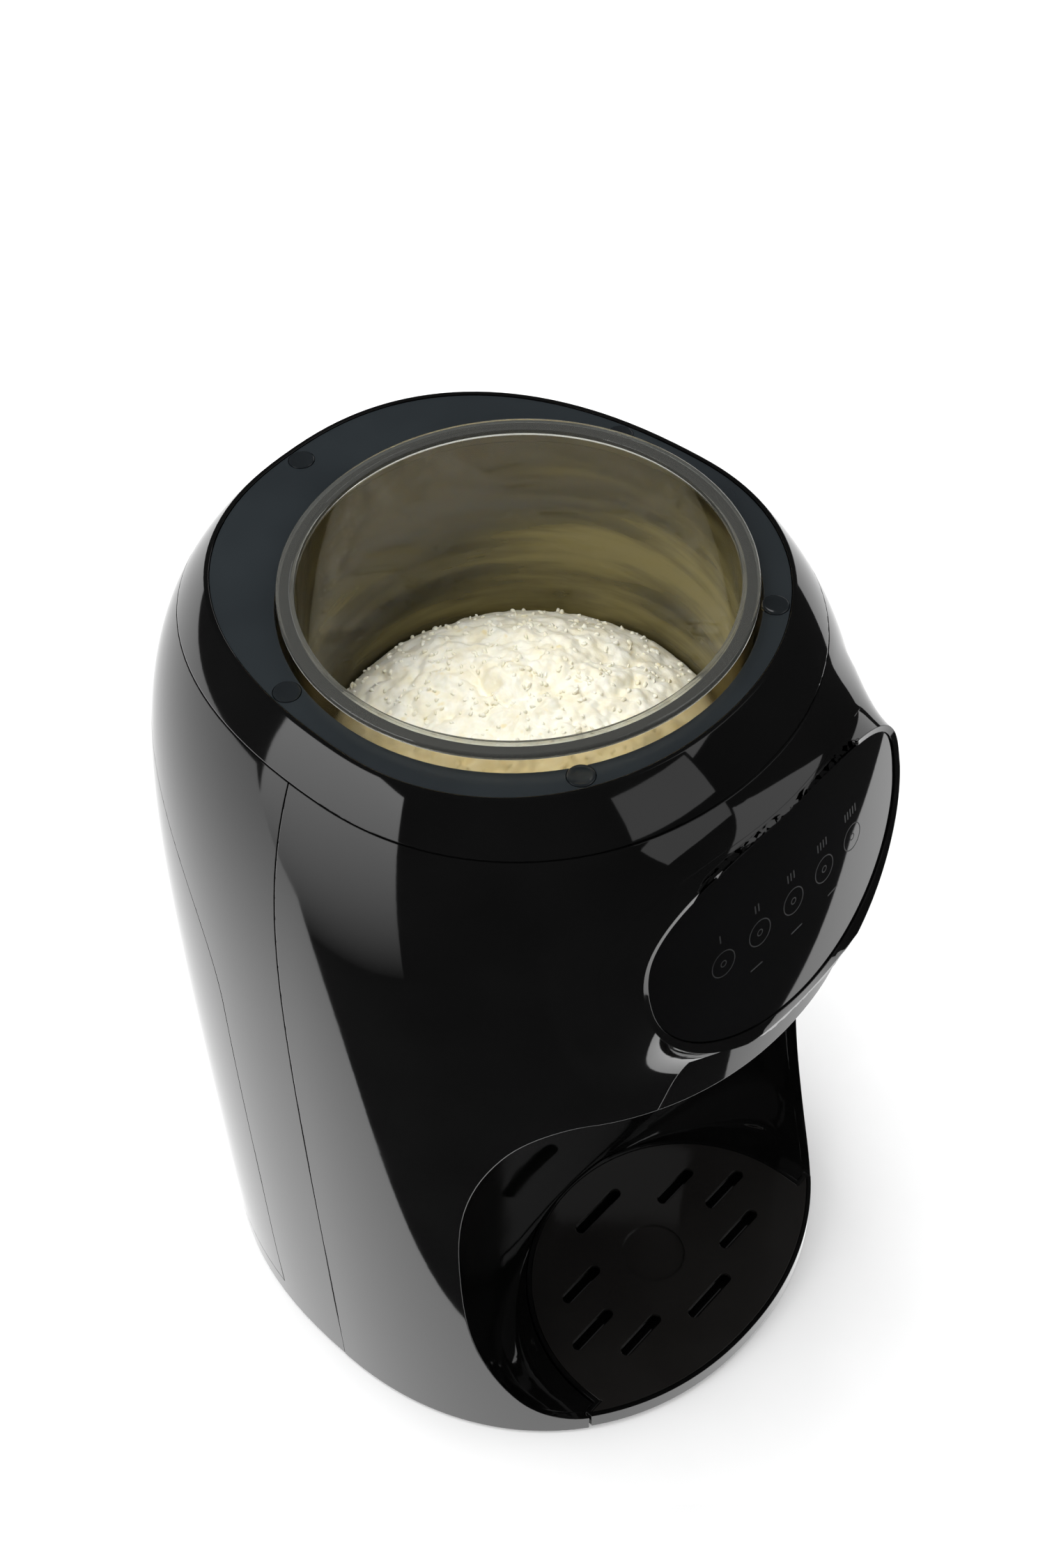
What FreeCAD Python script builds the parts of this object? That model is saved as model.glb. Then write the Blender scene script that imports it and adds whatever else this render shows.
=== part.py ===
import FreeCAD, Part
import math
import os

V = FreeCAD.Vector

# Powdered milk drink maker. Millimetres, +Z up, front towards -Y, right hand side of the user +X.
# The origin is the middle of the object's footprint, on the surface that it stands on.

# Body
HALF_WIDTH = 104.0        # widest half width, low on the body
HALF_DEPTH = 116.6        # back of the body, and foremost point of the touch panel
FRONT_REACH = 110.8       # front of the body at its foot
DECK_Z = 325.0            # top of the body
COLLAR_Z = 311.0          # seam between the shells and the top collar
WALL = 2.6                # shells
SEAM = 0.5                # visible seam between two shells
FOOT_H = 2.0              # underside of the body above the floor
SIDE_SHOULDER = 20.0      # how far each side draws in towards the deck
FRONT_SHOULDER = 25.0
BACK_SHOULDER = 24.3
SHOULDER_SAG = 5.9        # gentle draw that starts lower down
FRONT_LEAN = 4.0          # the head stands forward of the foot by this much
SECTION_POINTS = 48
FRONT_ROUND = 2.1         # superellipse exponents of the plan outline
BACK_ROUND = 2.33
SIDE_SEAM_Y = 0.0         # front shell meets rear shell

# Hopper
HOPPER_Y = -7.5
RIM_R = 68.5
RIM_INNER_R = 63.2
RIM_T = 2.3
RIM_PROUD = 6.0           # rim above the deck
TUB_R = 67.4
TUB_WALL = 2.8
TUB_DEPTH = 93.0          # rim to the underside of the tub
TUB_FLOOR = 3.0
SEAT_GAP = 1.9            # round the tub
SEAT_WALL = 2.0
SEAT_LIP = 3.5
WHEEL_T = 6.0
WHEEL_GAP = 0.6
POCKETS = 8
POCKET_R = 8.5
POCKET_RING_R = 42.0
POWDER_GAP = 0.5
POWDER_EDGE_H = 7.0       # powder above the wheel at the wall
POWDER_PEAK_H = 22.0      # and at the top of the heap

# Drive
SHAFT_R = 4.0
RUN_FIT = 0.05
HEX_AF = 6.0
HEX_GAP = 0.3
MODULE = 1.0
GEAR_TEETH = 36
PINION_TEETH = 12
GEAR_T = 7.0
BACKLASH = 0.12
MOTOR_R = 14.0
MOTOR_L = 58.0

# Deck
DECK_T = 2.5
DECK_EDGE = 1.3           # rim of the collar beside the deck plate
CAP_R = 3.9
CAP_INSET = 5.8
CAP_ANGLES = (90, 20, 160, -53, -127)
LEDGE_T = 2.4
LEDGE_W = 7.0

# Bottle bay
BAY_Y = -63.5             # axis of the funnel, the bottle and the drain
BAY_BACK_Y = -20.5
BAY_FLOOR_Z = 10.0
BAY_TOP_Z = 206.0
BAY_FLOOR_HALF = 64.0     # half width at the floor and the ceiling
BAY_BULGE = 28.5          # added half way up
BAY_ARCH = 2.6            # exponent of the arch
BAY_BEND_LOW_Y = -80.5    # where the straight sides turn into the back, at the floor
BAY_BEND_MID_Y = -57.0    # and half way up
LINER_WALL = 2.4

# Drip tray
TRAY_R = 60.8
TRAY_EAR_HALF = 65.7
TRAY_EAR_Y = -86.0
TRAY_TOP_Z = 11.0
TRAY_BOTTOM_Z = 3.4
TRAY_WALL = 2.6
TRAY_FLOOR = 1.2
TRAY_GAP = 0.6
GRILLE_T = 1.8
GRILLE_GAP = 0.3
GRILLE_LEDGE = 1.2
SLOT_W = 4.3
SLOTS = ((0.0, 27.5, 24.4), (28.0, 12.0, 19.5), (39.3, -3.3, 20.8), (29.2, -18.2, 20.8), (0.0, -27.4, 23.0))
DISH_R = 12.0
DISH_DEPTH = 0.9

# Touch panel
PANEL_Z = 272.0
PANEL_TILT = 10.0
PANEL_HALF = 56.5
PANEL_UP = 27.4
PANEL_DOWN = 43.0
PANEL_UP_ROUND = 3.0
PANEL_DOWN_ROUND = 2.0
PANEL_BEND_R = 300.0
GLASS_T = 2.0
HOOD_LIP = 0.5
HOOD_WALL = 2.4
# Depth behind the glass, scale of the outline there, and exponent of its lower half
HOOD_FLARE = ((-4, 1.02, 2.0), (4, 1.02, 2.0), (10, 1.03, 2.15), (17, 1.05, 2.5), (24, 1.075, 2.9),
              (31, 1.10, 3.2), (40, 1.13, 3.4))

# Funnel drawer
COVER_TOP_HALF = 40.0
COVER_BOTTOM_HALF = 48.0
COVER_TOP_Z = 228.4
DRAWER_GAP = 0.4
DRAWER_PLATE_HALF = 38.0
DRAWER_FLANGE = 4.0
DRAWER_PLATE_T = 2.2
DRAWER_BACK_Y = -28.3
FUNNEL_R = 34.0
FUNNEL_TOP_Z = 225.5
FUNNEL_WALL = 1.8
SPOUT_R = 9.0
SPOUT_DROP = 9.0

# Water tank and rear cover
TANK_FRONT_Y = 34.0
TANK_BOTTOM_Z = 12.0
TANK_BEND_Z = 190.0
TANK_BEND_R = 92.0
TANK_GAP = 0.4
TANK_WALL = 2.2
VESSEL_CLEAR = 1.6
VESSEL_TOP_Z = 188.0
LID_T = 2.5
FILLER_R = 15.0
SPIGOT_R = 5.0
SPIGOT_L = 9.0
SPIGOT_Z = 26.0
SOCKET_GAP = 0.35
BULKHEAD_T = 2.2
TANK_ROOF_GAP = 1.5

# Inside
HEATER_XY = (-52.0, 6.0)
HEATER_R = 17.0
HEATER_Z = (70.0, 185.0)
PUMP_XZ = (-12.0, 40.0)
PUMP_R = 13.0
TUBE_R = 2.6
TUBE_BORE_R = 1.5
BOARD_T = 1.6

# Base
BASE_T = 3.0
BASE_GAP = 0.3
FOOT_R = 8.0
FEET = ((-68.0, -62.0), (68.0, -62.0), (-74.0, 72.0), (74.0, 72.0))
SCREW_R = 1.5
SCREW_HEAD_R = 2.9
SCREW_L = 12.0
BOSS_R = 4.2
BOSS_INSET = 6.6
BOSS_ANGLES = (-160, -20, 8, 172)

# Mains inlet, on the right hand side of the rear shell
INLET_Y = 14.5
INLET_Z = 26.0
INLET_W = 24.0
INLET_H = 16.0
INLET_DEPTH = 16.0

RIM_Z = DECK_Z + RIM_PROUD
TUB_Z = RIM_Z - TUB_DEPTH
BIG = 400.0


def box(x0, x1, y0, y1, z0, z1):
    return Part.makeBox(x1 - x0, y1 - y0, z1 - z0, V(x0, y0, z0))


def disc(r, z0, z1, x=0.0, y=0.0):
    return Part.makeCylinder(r, z1 - z0, V(x, y, z0))


def ring(r_out, r_in, z0, z1, x=0.0, y=0.0):
    return disc(r_out, z0, z1, x, y).cut(disc(r_in, z0 - 1, z1 + 1, x, y))


def band(z0, z1):
    return box(-BIG, BIG, -BIG, BIG, z0, z1)


def tidy(shape):
    solids = shape.Solids
    return solids[0] if len(solids) == 1 else Part.makeCompound(solids)


def cut_each(shape, tools):
    """Cut crossing tools away one after the other."""
    for tool in tools:
        shape = shape.cut(tool)
    return shape


def egg_radius(angle, half, front, back, n_front, n_back):
    """Distance from the centre to a rounded outline that has its own depth and exponent at each end."""
    c, s = abs(math.cos(angle)), abs(math.sin(angle))
    depth, n = (back, n_back) if math.sin(angle) > 0 else (front, n_front)
    return ((c / half) ** n + (s / depth) ** n) ** (-1.0 / n)


def egg_wire(place, half, front, back, n_front, n_back):
    """Closed smooth outline; place turns local (u, v) into a point."""
    points = []
    for i in range(SECTION_POINTS):
        a = 2 * math.pi * i / SECTION_POINTS
        r = egg_radius(a, half, front, back, n_front, n_back)
        points.append(place(r * math.cos(a), r * math.sin(a)))
    curve = Part.BSplineCurve()
    curve.interpolate(Points=points, PeriodicFlag=True)
    return Part.Wire([curve.toShape()])


def reach(z, base, lean, shoulder, power):
    s = max(z, 0.0) / DECK_Z
    return base + lean * s - shoulder * s ** power - SHOULDER_SAG * s ** 4


def plan(z):
    """Half width, front depth, back depth and centre of the body's outline at a height."""
    centre = -2.5 - 9.0 * (max(z, 0.0) / DECK_Z) ** 3
    half = reach(z, HALF_WIDTH, 0.0, SIDE_SHOULDER, 10)
    front = reach(z, FRONT_REACH, FRONT_LEAN, FRONT_SHOULDER, 12)
    back = reach(z, HALF_DEPTH, 0.0, BACK_SHOULDER, 11)
    return half, front + centre, back - centre, centre


def body_wire(z, inset, at=None):
    half, front, back, centre = plan(z)
    height = z if at is None else at
    return egg_wire(lambda u, v: V(u, centre + v, height), half - inset, front - inset, back - inset,
                    FRONT_ROUND, BACK_ROUND)


def body_point(z, angle, inset):
    half, front, back, centre = plan(z)
    a = math.radians(angle)
    r = egg_radius(a, half - inset, front - inset, back - inset, FRONT_ROUND, BACK_ROUND)
    return r * math.cos(a), centre + r * math.sin(a)


def body_solid(inset, z0, z1):
    fractions = (0.0, 0.1, 0.25, 0.4, 0.55, 0.66, 0.75, 0.825, 0.88, 0.925, 0.96, 0.985, 1.0)
    wires = [body_wire(z0 + f * (z1 - z0), inset) for f in fractions]
    return Part.makeLoft(wires, True, False)


def body_prism(z_of, inset, z0, z1):
    """Upright prism with the body's outline at one height."""
    face = Part.Face(body_wire(z_of, inset, z0))
    return face.extrude(V(0, 0, z1 - z0))


def bay_cavity(grow):
    """Open-fronted bottle bay: straight sides at the front, round back, arched from floor to ceiling."""
    z_mid = 0.5 * (BAY_FLOOR_Z + BAY_TOP_Z)
    z_half = 0.5 * (BAY_TOP_Z - BAY_FLOOR_Z)
    wires = []
    for u in (-1.0, -0.985, -0.93, -0.8, -0.6, -0.35, 0.0, 0.35, 0.6, 0.8, 0.93, 0.985, 1.0):
        arch = (1.0 - abs(u) ** BAY_ARCH) ** (1.0 / BAY_ARCH) if abs(u) < 1 else 0.0
        half = BAY_FLOOR_HALF + BAY_BULGE * arch + grow
        bend = BAY_BEND_LOW_Y + (BAY_BEND_MID_Y - BAY_BEND_LOW_Y) * arch
        deep = BAY_BACK_Y + grow - bend
        z = z_mid + u * (z_half + grow)
        ellipse = Part.Ellipse(V(0, bend, z), max(half, deep + 0.01), deep)
        arc = Part.ArcOfEllipse(ellipse, 0, math.pi).toShape()
        left, right = V(-half, -BIG / 2, z), V(half, -BIG / 2, z)
        a, b = arc.valueAt(arc.FirstParameter), arc.valueAt(arc.LastParameter)
        edges = [Part.makeLine(right, a), arc, Part.makeLine(b, left), Part.makeLine(left, right)]
        wires.append(Part.Wire(edges))
    return Part.makeLoft(wires, True, False)


def tray_blank(grow, z0, z1, forward=0.0):
    """Round at the back, with two ears at the front corners, cut to the body's own outline."""
    round_part = disc(TRAY_R + grow, z0, z1, 0, BAY_BEND_LOW_Y)
    neck = box(-TRAY_R - grow, TRAY_R + grow, TRAY_EAR_Y - 1, BAY_BEND_LOW_Y, z0, z1)
    ears = box(-TRAY_EAR_HALF - grow, TRAY_EAR_HALF + grow, -BIG / 2, TRAY_EAR_Y + grow, z0, z1)
    blank = round_part.fuse([neck, ears])
    if forward:
        return blank
    return blank.common(body_prism(TRAY_TOP_Z, -grow, z0, z1))


def tank_prism(grow):
    """Side profile of the rear piece: upright front, then a quarter round that rises to the back."""
    y0 = TANK_FRONT_Y - grow
    z0 = TANK_BOTTOM_Z - grow
    r = TANK_BEND_R + grow
    centre = V(-BIG / 2, TANK_FRONT_Y + TANK_BEND_R, TANK_BEND_Z)
    q = math.sqrt(0.5)
    bend = V(-BIG / 2, y0, TANK_BEND_Z)
    top = V(-BIG / 2, centre.y, TANK_BEND_Z + r)
    arc = Part.Arc(bend, centre + V(0, -r * q, r * q), top).toShape()
    foot = V(-BIG / 2, y0, z0)
    back_low = V(-BIG / 2, BIG / 2, z0)
    back_high = V(-BIG / 2, BIG / 2, top.z)
    edges = [Part.makeLine(foot, bend), arc, Part.makeLine(top, back_high),
             Part.makeLine(back_high, back_low), Part.makeLine(back_low, foot)]
    return Part.Face(Part.Wire(edges)).extrude(V(BIG, 0, 0))


# Touch panel frame: u to the right, v up the glass, depth measured back from the glass.
TILT = math.radians(PANEL_TILT)
PANEL_FACE = V(0, -math.cos(TILT), math.sin(TILT))
PANEL_RISE = V(0, math.sin(TILT), math.cos(TILT))
PANEL_C = V(0, -HALF_DEPTH + PANEL_DOWN * math.sin(TILT) + HOOD_LIP, PANEL_Z)


def panel_wire(scale, inset, depth, down_round=PANEL_DOWN_ROUND):
    def place(u, v):
        return PANEL_C + V(u, 0, 0) + PANEL_RISE * v - PANEL_FACE * depth
    half, down, up = (scale * size - inset for size in (PANEL_HALF, PANEL_DOWN, PANEL_UP))
    return egg_wire(place, half, down, up, down_round, PANEL_UP_ROUND)


def panel_round(r):
    """Large cylinder whose front is the curve of the glass."""
    axis = PANEL_C - PANEL_FACE * PANEL_BEND_R
    return Part.makeCylinder(r, 2 * BIG, axis - PANEL_RISE * BIG, PANEL_RISE)


def panel_prism(inset, depth0, depth1):
    face = Part.Face(panel_wire(1.0, inset, depth0))
    return face.extrude(PANEL_FACE * (depth0 - depth1))


def hood_envelope(inset):
    wires = [panel_wire(scale, inset, depth, low_round) for depth, scale, low_round in HOOD_FLARE]
    low = band(COVER_TOP_Z + 0.4, BIG)
    return Part.makeLoft(wires, True, False).common(low)


def cover_prism(grow):
    """Tapered window in the head's front that the funnel cover fills."""
    z0, z1 = BAY_TOP_Z - BIG / 8, COVER_TOP_Z + grow
    slope = (COVER_BOTTOM_HALF - COVER_TOP_HALF) / (COVER_TOP_Z - BAY_TOP_Z)
    top = COVER_TOP_HALF + grow
    bottom = COVER_BOTTOM_HALF + grow
    mid = BAY_TOP_Z
    pts = [V(-top + slope * grow, -BIG / 2, z1), V(top - slope * grow, -BIG / 2, z1), V(bottom, -BIG / 2, mid),
           V(bottom, -BIG / 2, z0), V(-bottom, -BIG / 2, z0), V(-bottom, -BIG / 2, mid)]
    face = Part.Face(Part.makePolygon(pts + pts[:1]))
    return face.extrude(V(0, BIG / 2 + BAY_Y, 0))


def gear(teeth, bore_r, phase, z0, x, y):
    """Straight spur gear with trapezoid teeth, thinned by the backlash."""
    pitch_r = MODULE * teeth / 2.0
    root_r = pitch_r - 1.25 * MODULE
    tip_r = pitch_r + 0.9 * MODULE
    step = 2 * math.pi / teeth
    half_pitch = step / 4 - BACKLASH / pitch_r
    half_root = half_pitch + 0.42 * MODULE / pitch_r
    half_tip = half_pitch - 0.36 * MODULE / pitch_r
    points = []
    for i in range(teeth):
        a = phase + i * step
        for r, da in ((root_r, -half_root), (tip_r, -half_tip), (tip_r, half_tip), (root_r, half_root)):
            points.append(V(x + r * math.cos(a + da), y + r * math.sin(a + da), z0))
    blank = Part.Face(Part.makePolygon(points + points[:1])).extrude(V(0, 0, GEAR_T))
    return blank.cut(disc(bore_r, z0 - 1, z0 + GEAR_T + 1, x, y))


def hexagon(across, z0, z1, x, y):
    r = across / math.sqrt(3)
    pts = [V(x + r * math.cos(math.radians(60 * i)), y + r * math.sin(math.radians(60 * i)), z0) for i in range(7)]
    return Part.Face(Part.makePolygon(pts)).extrude(V(0, 0, z1 - z0))


def hose(points, bend_r):
    """Hollow hose along straight runs joined by arcs."""
    edges = []
    start = points[0]
    for before, corner, after in zip(points, points[1:], points[2:]):
        back = (before - corner).normalize()
        on = (after - corner).normalize()
        half = 0.5 * back.getAngle(on)
        cut = bend_r / math.tan(half)
        p, q = corner + back * cut, corner + on * cut
        centre = corner + (back + on).normalize() * (bend_r / math.sin(half))
        middle = centre + (corner - centre).normalize() * bend_r
        edges += [Part.makeLine(start, p), Part.Arc(p, middle, q).toShape()]
        start = q
    edges.append(Part.makeLine(start, points[-1]))
    path = Part.Wire(edges)
    direction = points[1] - points[0]
    skins = []
    for r in (TUBE_R, TUBE_BORE_R):
        section = Part.Wire([Part.Circle(points[0], direction, r).toShape()])
        skins.append(path.makePipeShell([section], True, True))
    return skins[0].cut(skins[1])


OUTER = body_solid(0.0, -4.0, DECK_Z + 3.0).common(band(FOOT_H, DECK_Z))
INNER = body_solid(WALL, -4.0, DECK_Z + 3.0)
INSIDE = body_solid(WALL + 0.05, -4.0, DECK_Z + 3.0).common(band(FOOT_H, DECK_Z))
SKIN = OUTER.cut(INNER)
BAY = bay_cavity(0.0)
TRAY_VOID = tray_blank(TRAY_GAP, FOOT_H - 1, TRAY_TOP_Z + 0.8, forward=1.0)


def with_bosses(shell, front):
    for angle in BOSS_ANGLES:
        x, y = body_point(BASE_T, angle, BOSS_INSET)
        if (y < SIDE_SEAM_Y) == front:
            boss = disc(BOSS_R, FOOT_H + BASE_T, FOOT_H + BASE_T + SCREW_L + 2, x, y).common(OUTER)
            shell = shell.fuse(boss)
            shell = shell.cut(disc(SCREW_R, 0, FOOT_H + BASE_T + SCREW_L, x, y))
    return shell


def front_shell():
    front = box(-BIG, BIG, -BIG, SIDE_SEAM_Y - SEAM / 2, 0, COLLAR_Z - SEAM / 2)
    shell = OUTER.cut(hood_envelope(0.0)).common(front).cut(INNER)
    shell = with_bosses(shell, True)
    return cut_each(shell, (BAY, TRAY_VOID, cover_prism(DRAWER_GAP)))


def rear_shell():
    shell = SKIN.common(box(-BIG, BIG, SIDE_SEAM_Y + SEAM / 2, BIG, 0, COLLAR_Z - SEAM / 2))
    shell = with_bosses(shell, False)
    inlet = box(HALF_WIDTH / 2, BIG, INLET_Y - INLET_W / 2 - 0.1, INLET_Y + INLET_W / 2 + 0.1,
                INLET_Z - INLET_H / 2 - 0.1, INLET_Z + INLET_H / 2 + 0.1)
    return cut_each(shell, (tank_prism(0.0), inlet))


def deck_outline(inset, z0, z1):
    return body_prism(DECK_Z, inset, z0, z1)


def top_collar():
    z_ledge = DECK_Z - DECK_T - 0.3
    collar = OUTER.common(band(COLLAR_Z + SEAM / 2, DECK_Z))
    collar = collar.cut(deck_outline(DECK_EDGE, z_ledge, BIG)).cut(INNER)
    ledge = INNER.common(band(z_ledge - LEDGE_T, z_ledge)).cut(deck_outline(LEDGE_W, 0, BIG))
    ledge = ledge.cut(disc(seat_r() + SEAT_LIP + 0.2, 0, BIG, 0, HOPPER_Y))
    return collar.fuse(ledge)


def deck_holes():
    return [body_point(DECK_Z, angle, CAP_INSET) for angle in CAP_ANGLES]


def deck_plate():
    z0, z1 = DECK_Z - DECK_T - 0.3, DECK_Z - 0.3
    plate = deck_outline(DECK_EDGE + 0.25, z0, z1)
    plate = plate.cut(disc(TUB_R + SEAT_GAP + 0.2, z0 - 1, z1 + 1, 0, HOPPER_Y))
    return plate.cut([disc(CAP_R + 0.2, z1 - 1.4, z1 + 1, x, y) for x, y in deck_holes()])


def screw_caps():
    z0 = DECK_Z - 0.3 - 1.4
    caps = []
    for x, y in deck_holes():
        cap = disc(CAP_R, z0, DECK_Z, x, y)
        caps.append(cap.makeChamfer(0.3, [cap.Edges[0]]))
    return Part.makeCompound(caps)


def seat_floor_z():
    return TUB_Z - 1.5


def seat_r():
    return TUB_R + SEAT_GAP + SEAT_WALL


def outlet_xy():
    return 0.0, HOPPER_Y - POCKET_RING_R


def hopper_seat():
    top = DECK_Z - DECK_T - 0.3
    r = TUB_R + SEAT_GAP
    z0 = seat_floor_z() - SEAT_WALL
    cup = disc(seat_r(), z0, top, 0, HOPPER_Y).cut(disc(r, seat_floor_z(), BIG, 0, HOPPER_Y))
    lip = ring(seat_r() + SEAT_LIP, r + 0.1, top - 2, top, 0, HOPPER_Y).common(INSIDE)
    cup = cup.fuse(lip)
    x, y = outlet_xy()
    holes = [disc(SHAFT_R + 3.0, 0, BIG, 0, HOPPER_Y), disc(POCKET_R + 3.5, 0, BIG, x, y)]
    return cup.cut(holes)


def powder_chute():
    x, y = outlet_xy()
    z1 = seat_floor_z()
    tube = ring(POCKET_R + 3.4, POCKET_R + 1.6, FUNNEL_TOP_Z + 1.5, z1, x, y)
    flange = ring(POCKET_R + 6.0, POCKET_R + 1.6, z1 - SEAT_WALL - 1.5, z1 - SEAT_WALL, x, y)
    return tube.fuse(flange)


def drive_bush():
    z1 = seat_floor_z()
    sleeve = ring(SHAFT_R + 2.9, SHAFT_R + RUN_FIT, z1 - SEAT_WALL - 4, z1, 0, HOPPER_Y)
    collar = ring(SHAFT_R + 5.0, SHAFT_R + RUN_FIT, z1 - SEAT_WALL - 2, z1 - SEAT_WALL, 0, HOPPER_Y)
    return sleeve.fuse(collar)


def hopper_tub():
    top = RIM_Z - RIM_T
    cup = disc(TUB_R, TUB_Z, top, 0, HOPPER_Y)
    cup = cup.cut(disc(TUB_R - TUB_WALL, TUB_Z + TUB_FLOOR, BIG, 0, HOPPER_Y))
    x, y = outlet_xy()
    return cup.cut([disc(SHAFT_R + 2.0 + RUN_FIT, 0, BIG, 0, HOPPER_Y), disc(POCKET_R, 0, BIG, x, y)])


def hopper_rim():
    rim = ring(RIM_R, RIM_INNER_R, RIM_Z - RIM_T, RIM_Z, 0, HOPPER_Y)
    top_edges = [e for e in rim.Edges if e.BoundBox.ZMin > RIM_Z - 0.01]
    return rim.makeFillet(0.7, top_edges)


def wheel_z():
    return TUB_Z + TUB_FLOOR + WHEEL_GAP


def dosing_wheel():
    z0 = wheel_z()
    r = TUB_R - TUB_WALL - 0.8
    wheel = disc(r, z0, z0 + WHEEL_T, 0, HOPPER_Y)
    for i in range(POCKETS):
        a = 2 * math.pi * (i + 0.5) / POCKETS - math.pi / 2
        pocket = disc(POCKET_R, 0, BIG, POCKET_RING_R * math.cos(a), HOPPER_Y + POCKET_RING_R * math.sin(a))
        wheel = wheel.cut(pocket)
    stub = disc(SHAFT_R + 2.0, TUB_Z - 0.8, z0, 0, HOPPER_Y)
    wheel = wheel.fuse(stub)
    return wheel.cut(hexagon(HEX_AF + 2 * HEX_GAP, 0, TUB_Z + 7.0, 0, HOPPER_Y))


def powder_charge():
    """Low heap: a cylinder under a shallow dome."""
    z0 = wheel_z() + WHEEL_T + POWDER_GAP
    r = TUB_R - TUB_WALL - POWDER_GAP
    rise = POWDER_PEAK_H - POWDER_EDGE_H
    dome_r = (r * r + rise * rise) / (2 * rise)
    peak = z0 + POWDER_PEAK_H
    dome = Part.makeSphere(dome_r, V(0, HOPPER_Y, peak - dome_r), V(0, 1, 0))
    return disc(r, z0, peak, 0, HOPPER_Y).common(dome)


def gear_z():
    return BAY_TOP_Z + LINER_WALL + 3.6


def motor_y():
    return HOPPER_Y + MODULE * (GEAR_TEETH + PINION_TEETH) / 2.0 + 0.1


def drive_shaft():
    z0 = BAY_TOP_Z + LINER_WALL + 0.2
    shoulder = TUB_Z - 1.0
    shaft = disc(SHAFT_R, z0, shoulder, 0, HOPPER_Y)
    return shaft.fuse(hexagon(HEX_AF, shoulder - 0.5, TUB_Z + 6.0, 0, HOPPER_Y))


def drive_gear():
    return gear(GEAR_TEETH, SHAFT_R, math.pi / 2, gear_z(), 0, HOPPER_Y)


def motor_pinion():
    y = motor_y()
    shaft_r = 2.5
    wheel = gear(PINION_TEETH, shaft_r, -math.pi / 2 + math.pi / PINION_TEETH, gear_z(), 0, y)
    shaft = disc(shaft_r, gear_z() - 4.0, gear_z() + GEAR_T + 1, 0, y)
    return wheel.fuse(shaft)


def gear_motor():
    y = motor_y()
    z1 = BAY_TOP_Z + LINER_WALL - 0.6
    can = disc(MOTOR_R, z1 - MOTOR_L, z1 - 18, 0, y)
    box_part = disc(MOTOR_R + 0.5, z1 - 17.5, z1, 0, y)
    neck = disc(MOTOR_R - 3, z1 - 18, z1 - 17.5, 0, y)
    terminal = box(-3, 3, y - 9, y - 7, z1 - MOTOR_L - 5, z1 - MOTOR_L)
    return can.fuse([neck, box_part, terminal]).cut(disc(2.5 + RUN_FIT, z1 - 6, z1 + 1, 0, y))


def motor_bracket():
    z0 = BAY_TOP_Z + LINER_WALL
    y = motor_y()
    plate = box(-20, 20, BAY_BACK_Y - 4, y + MOTOR_R, z0 + 0.1, z0 + 1.7)
    ears = box(-34, 34, BAY_BACK_Y - 4, BAY_BACK_Y + 2, z0 + 0.1, z0 + 1.7)
    holes = [disc(SHAFT_R + RUN_FIT, 0, BIG, 0, HOPPER_Y), disc(4.0, 0, BIG, 0, y)]
    holes += [disc(1.6, 0, BIG, x, BAY_BACK_Y - 1) for x in (-28, 28)]
    return plate.fuse(ears).cut(holes)


def bay_liner():
    liner = bay_cavity(LINER_WALL).common(INSIDE)
    z1 = BAY_TOP_Z + LINER_WALL + 1
    slot = box(-DRAWER_PLATE_HALF - DRAWER_GAP, DRAWER_PLATE_HALF + DRAWER_GAP, -BIG / 2,
               DRAWER_BACK_Y + DRAWER_GAP, BAY_TOP_Z - 1, z1)
    return cut_each(liner, (BAY, TRAY_VOID, slot))


def panel_hood():
    z_open = panel_round(PANEL_BEND_R + HOOD_LIP)
    hood = hood_envelope(0.0).common(z_open).cut(INNER)
    seat = panel_prism(-0.15, -20, 60).cut(panel_round(PANEL_BEND_R - GLASS_T))
    hollow = hood_envelope(HOOD_WALL + 2.0).common(panel_round(PANEL_BEND_R - GLASS_T - HOOD_WALL))
    window = panel_prism(4.5, -20, 60)
    return cut_each(hood, (seat, hollow, window))


def touch_panel():
    glass = panel_prism(0.15, -20, 60).common(panel_round(PANEL_BEND_R))
    return glass.cut(panel_round(PANEL_BEND_R - GLASS_T))


def panel_board():
    def place(u, v, depth):
        return PANEL_C + V(u, 0, 0) + PANEL_RISE * v - PANEL_FACE * depth
    corners = [place(-42, -24, 9), place(42, -24, 9), place(42, 16, 9), place(-42, 16, 9)]
    board = Part.Face(Part.makePolygon(corners + corners[:1])).extrude(PANEL_FACE * -BOARD_T)
    posts = []
    for u in (-38, 38):
        for v in (-20, 12):
            posts.append(Part.makeCylinder(1.8, 9, place(u, v, 9), PANEL_FACE))
    pads = []
    for i in range(5):
        pads.append(Part.makeCylinder(6, 6.2, place(-30 + 15 * i, -6, 9), PANEL_FACE))
    chip = [place(-8, -14, 10.4), place(8, -14, 10.4), place(8, 2, 10.4), place(-8, 2, 10.4)]
    chip = Part.Face(Part.makePolygon(chip + chip[:1])).extrude(PANEL_FACE * -3)
    keep = panel_round(PANEL_BEND_R - GLASS_T - 0.05)
    return board.fuse([p.common(keep) for p in posts + pads] + [chip])


def funnel_cover():
    skin = SKIN.common(cover_prism(0.0)).common(band(BAY_TOP_Z, BIG))
    return skin


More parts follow.
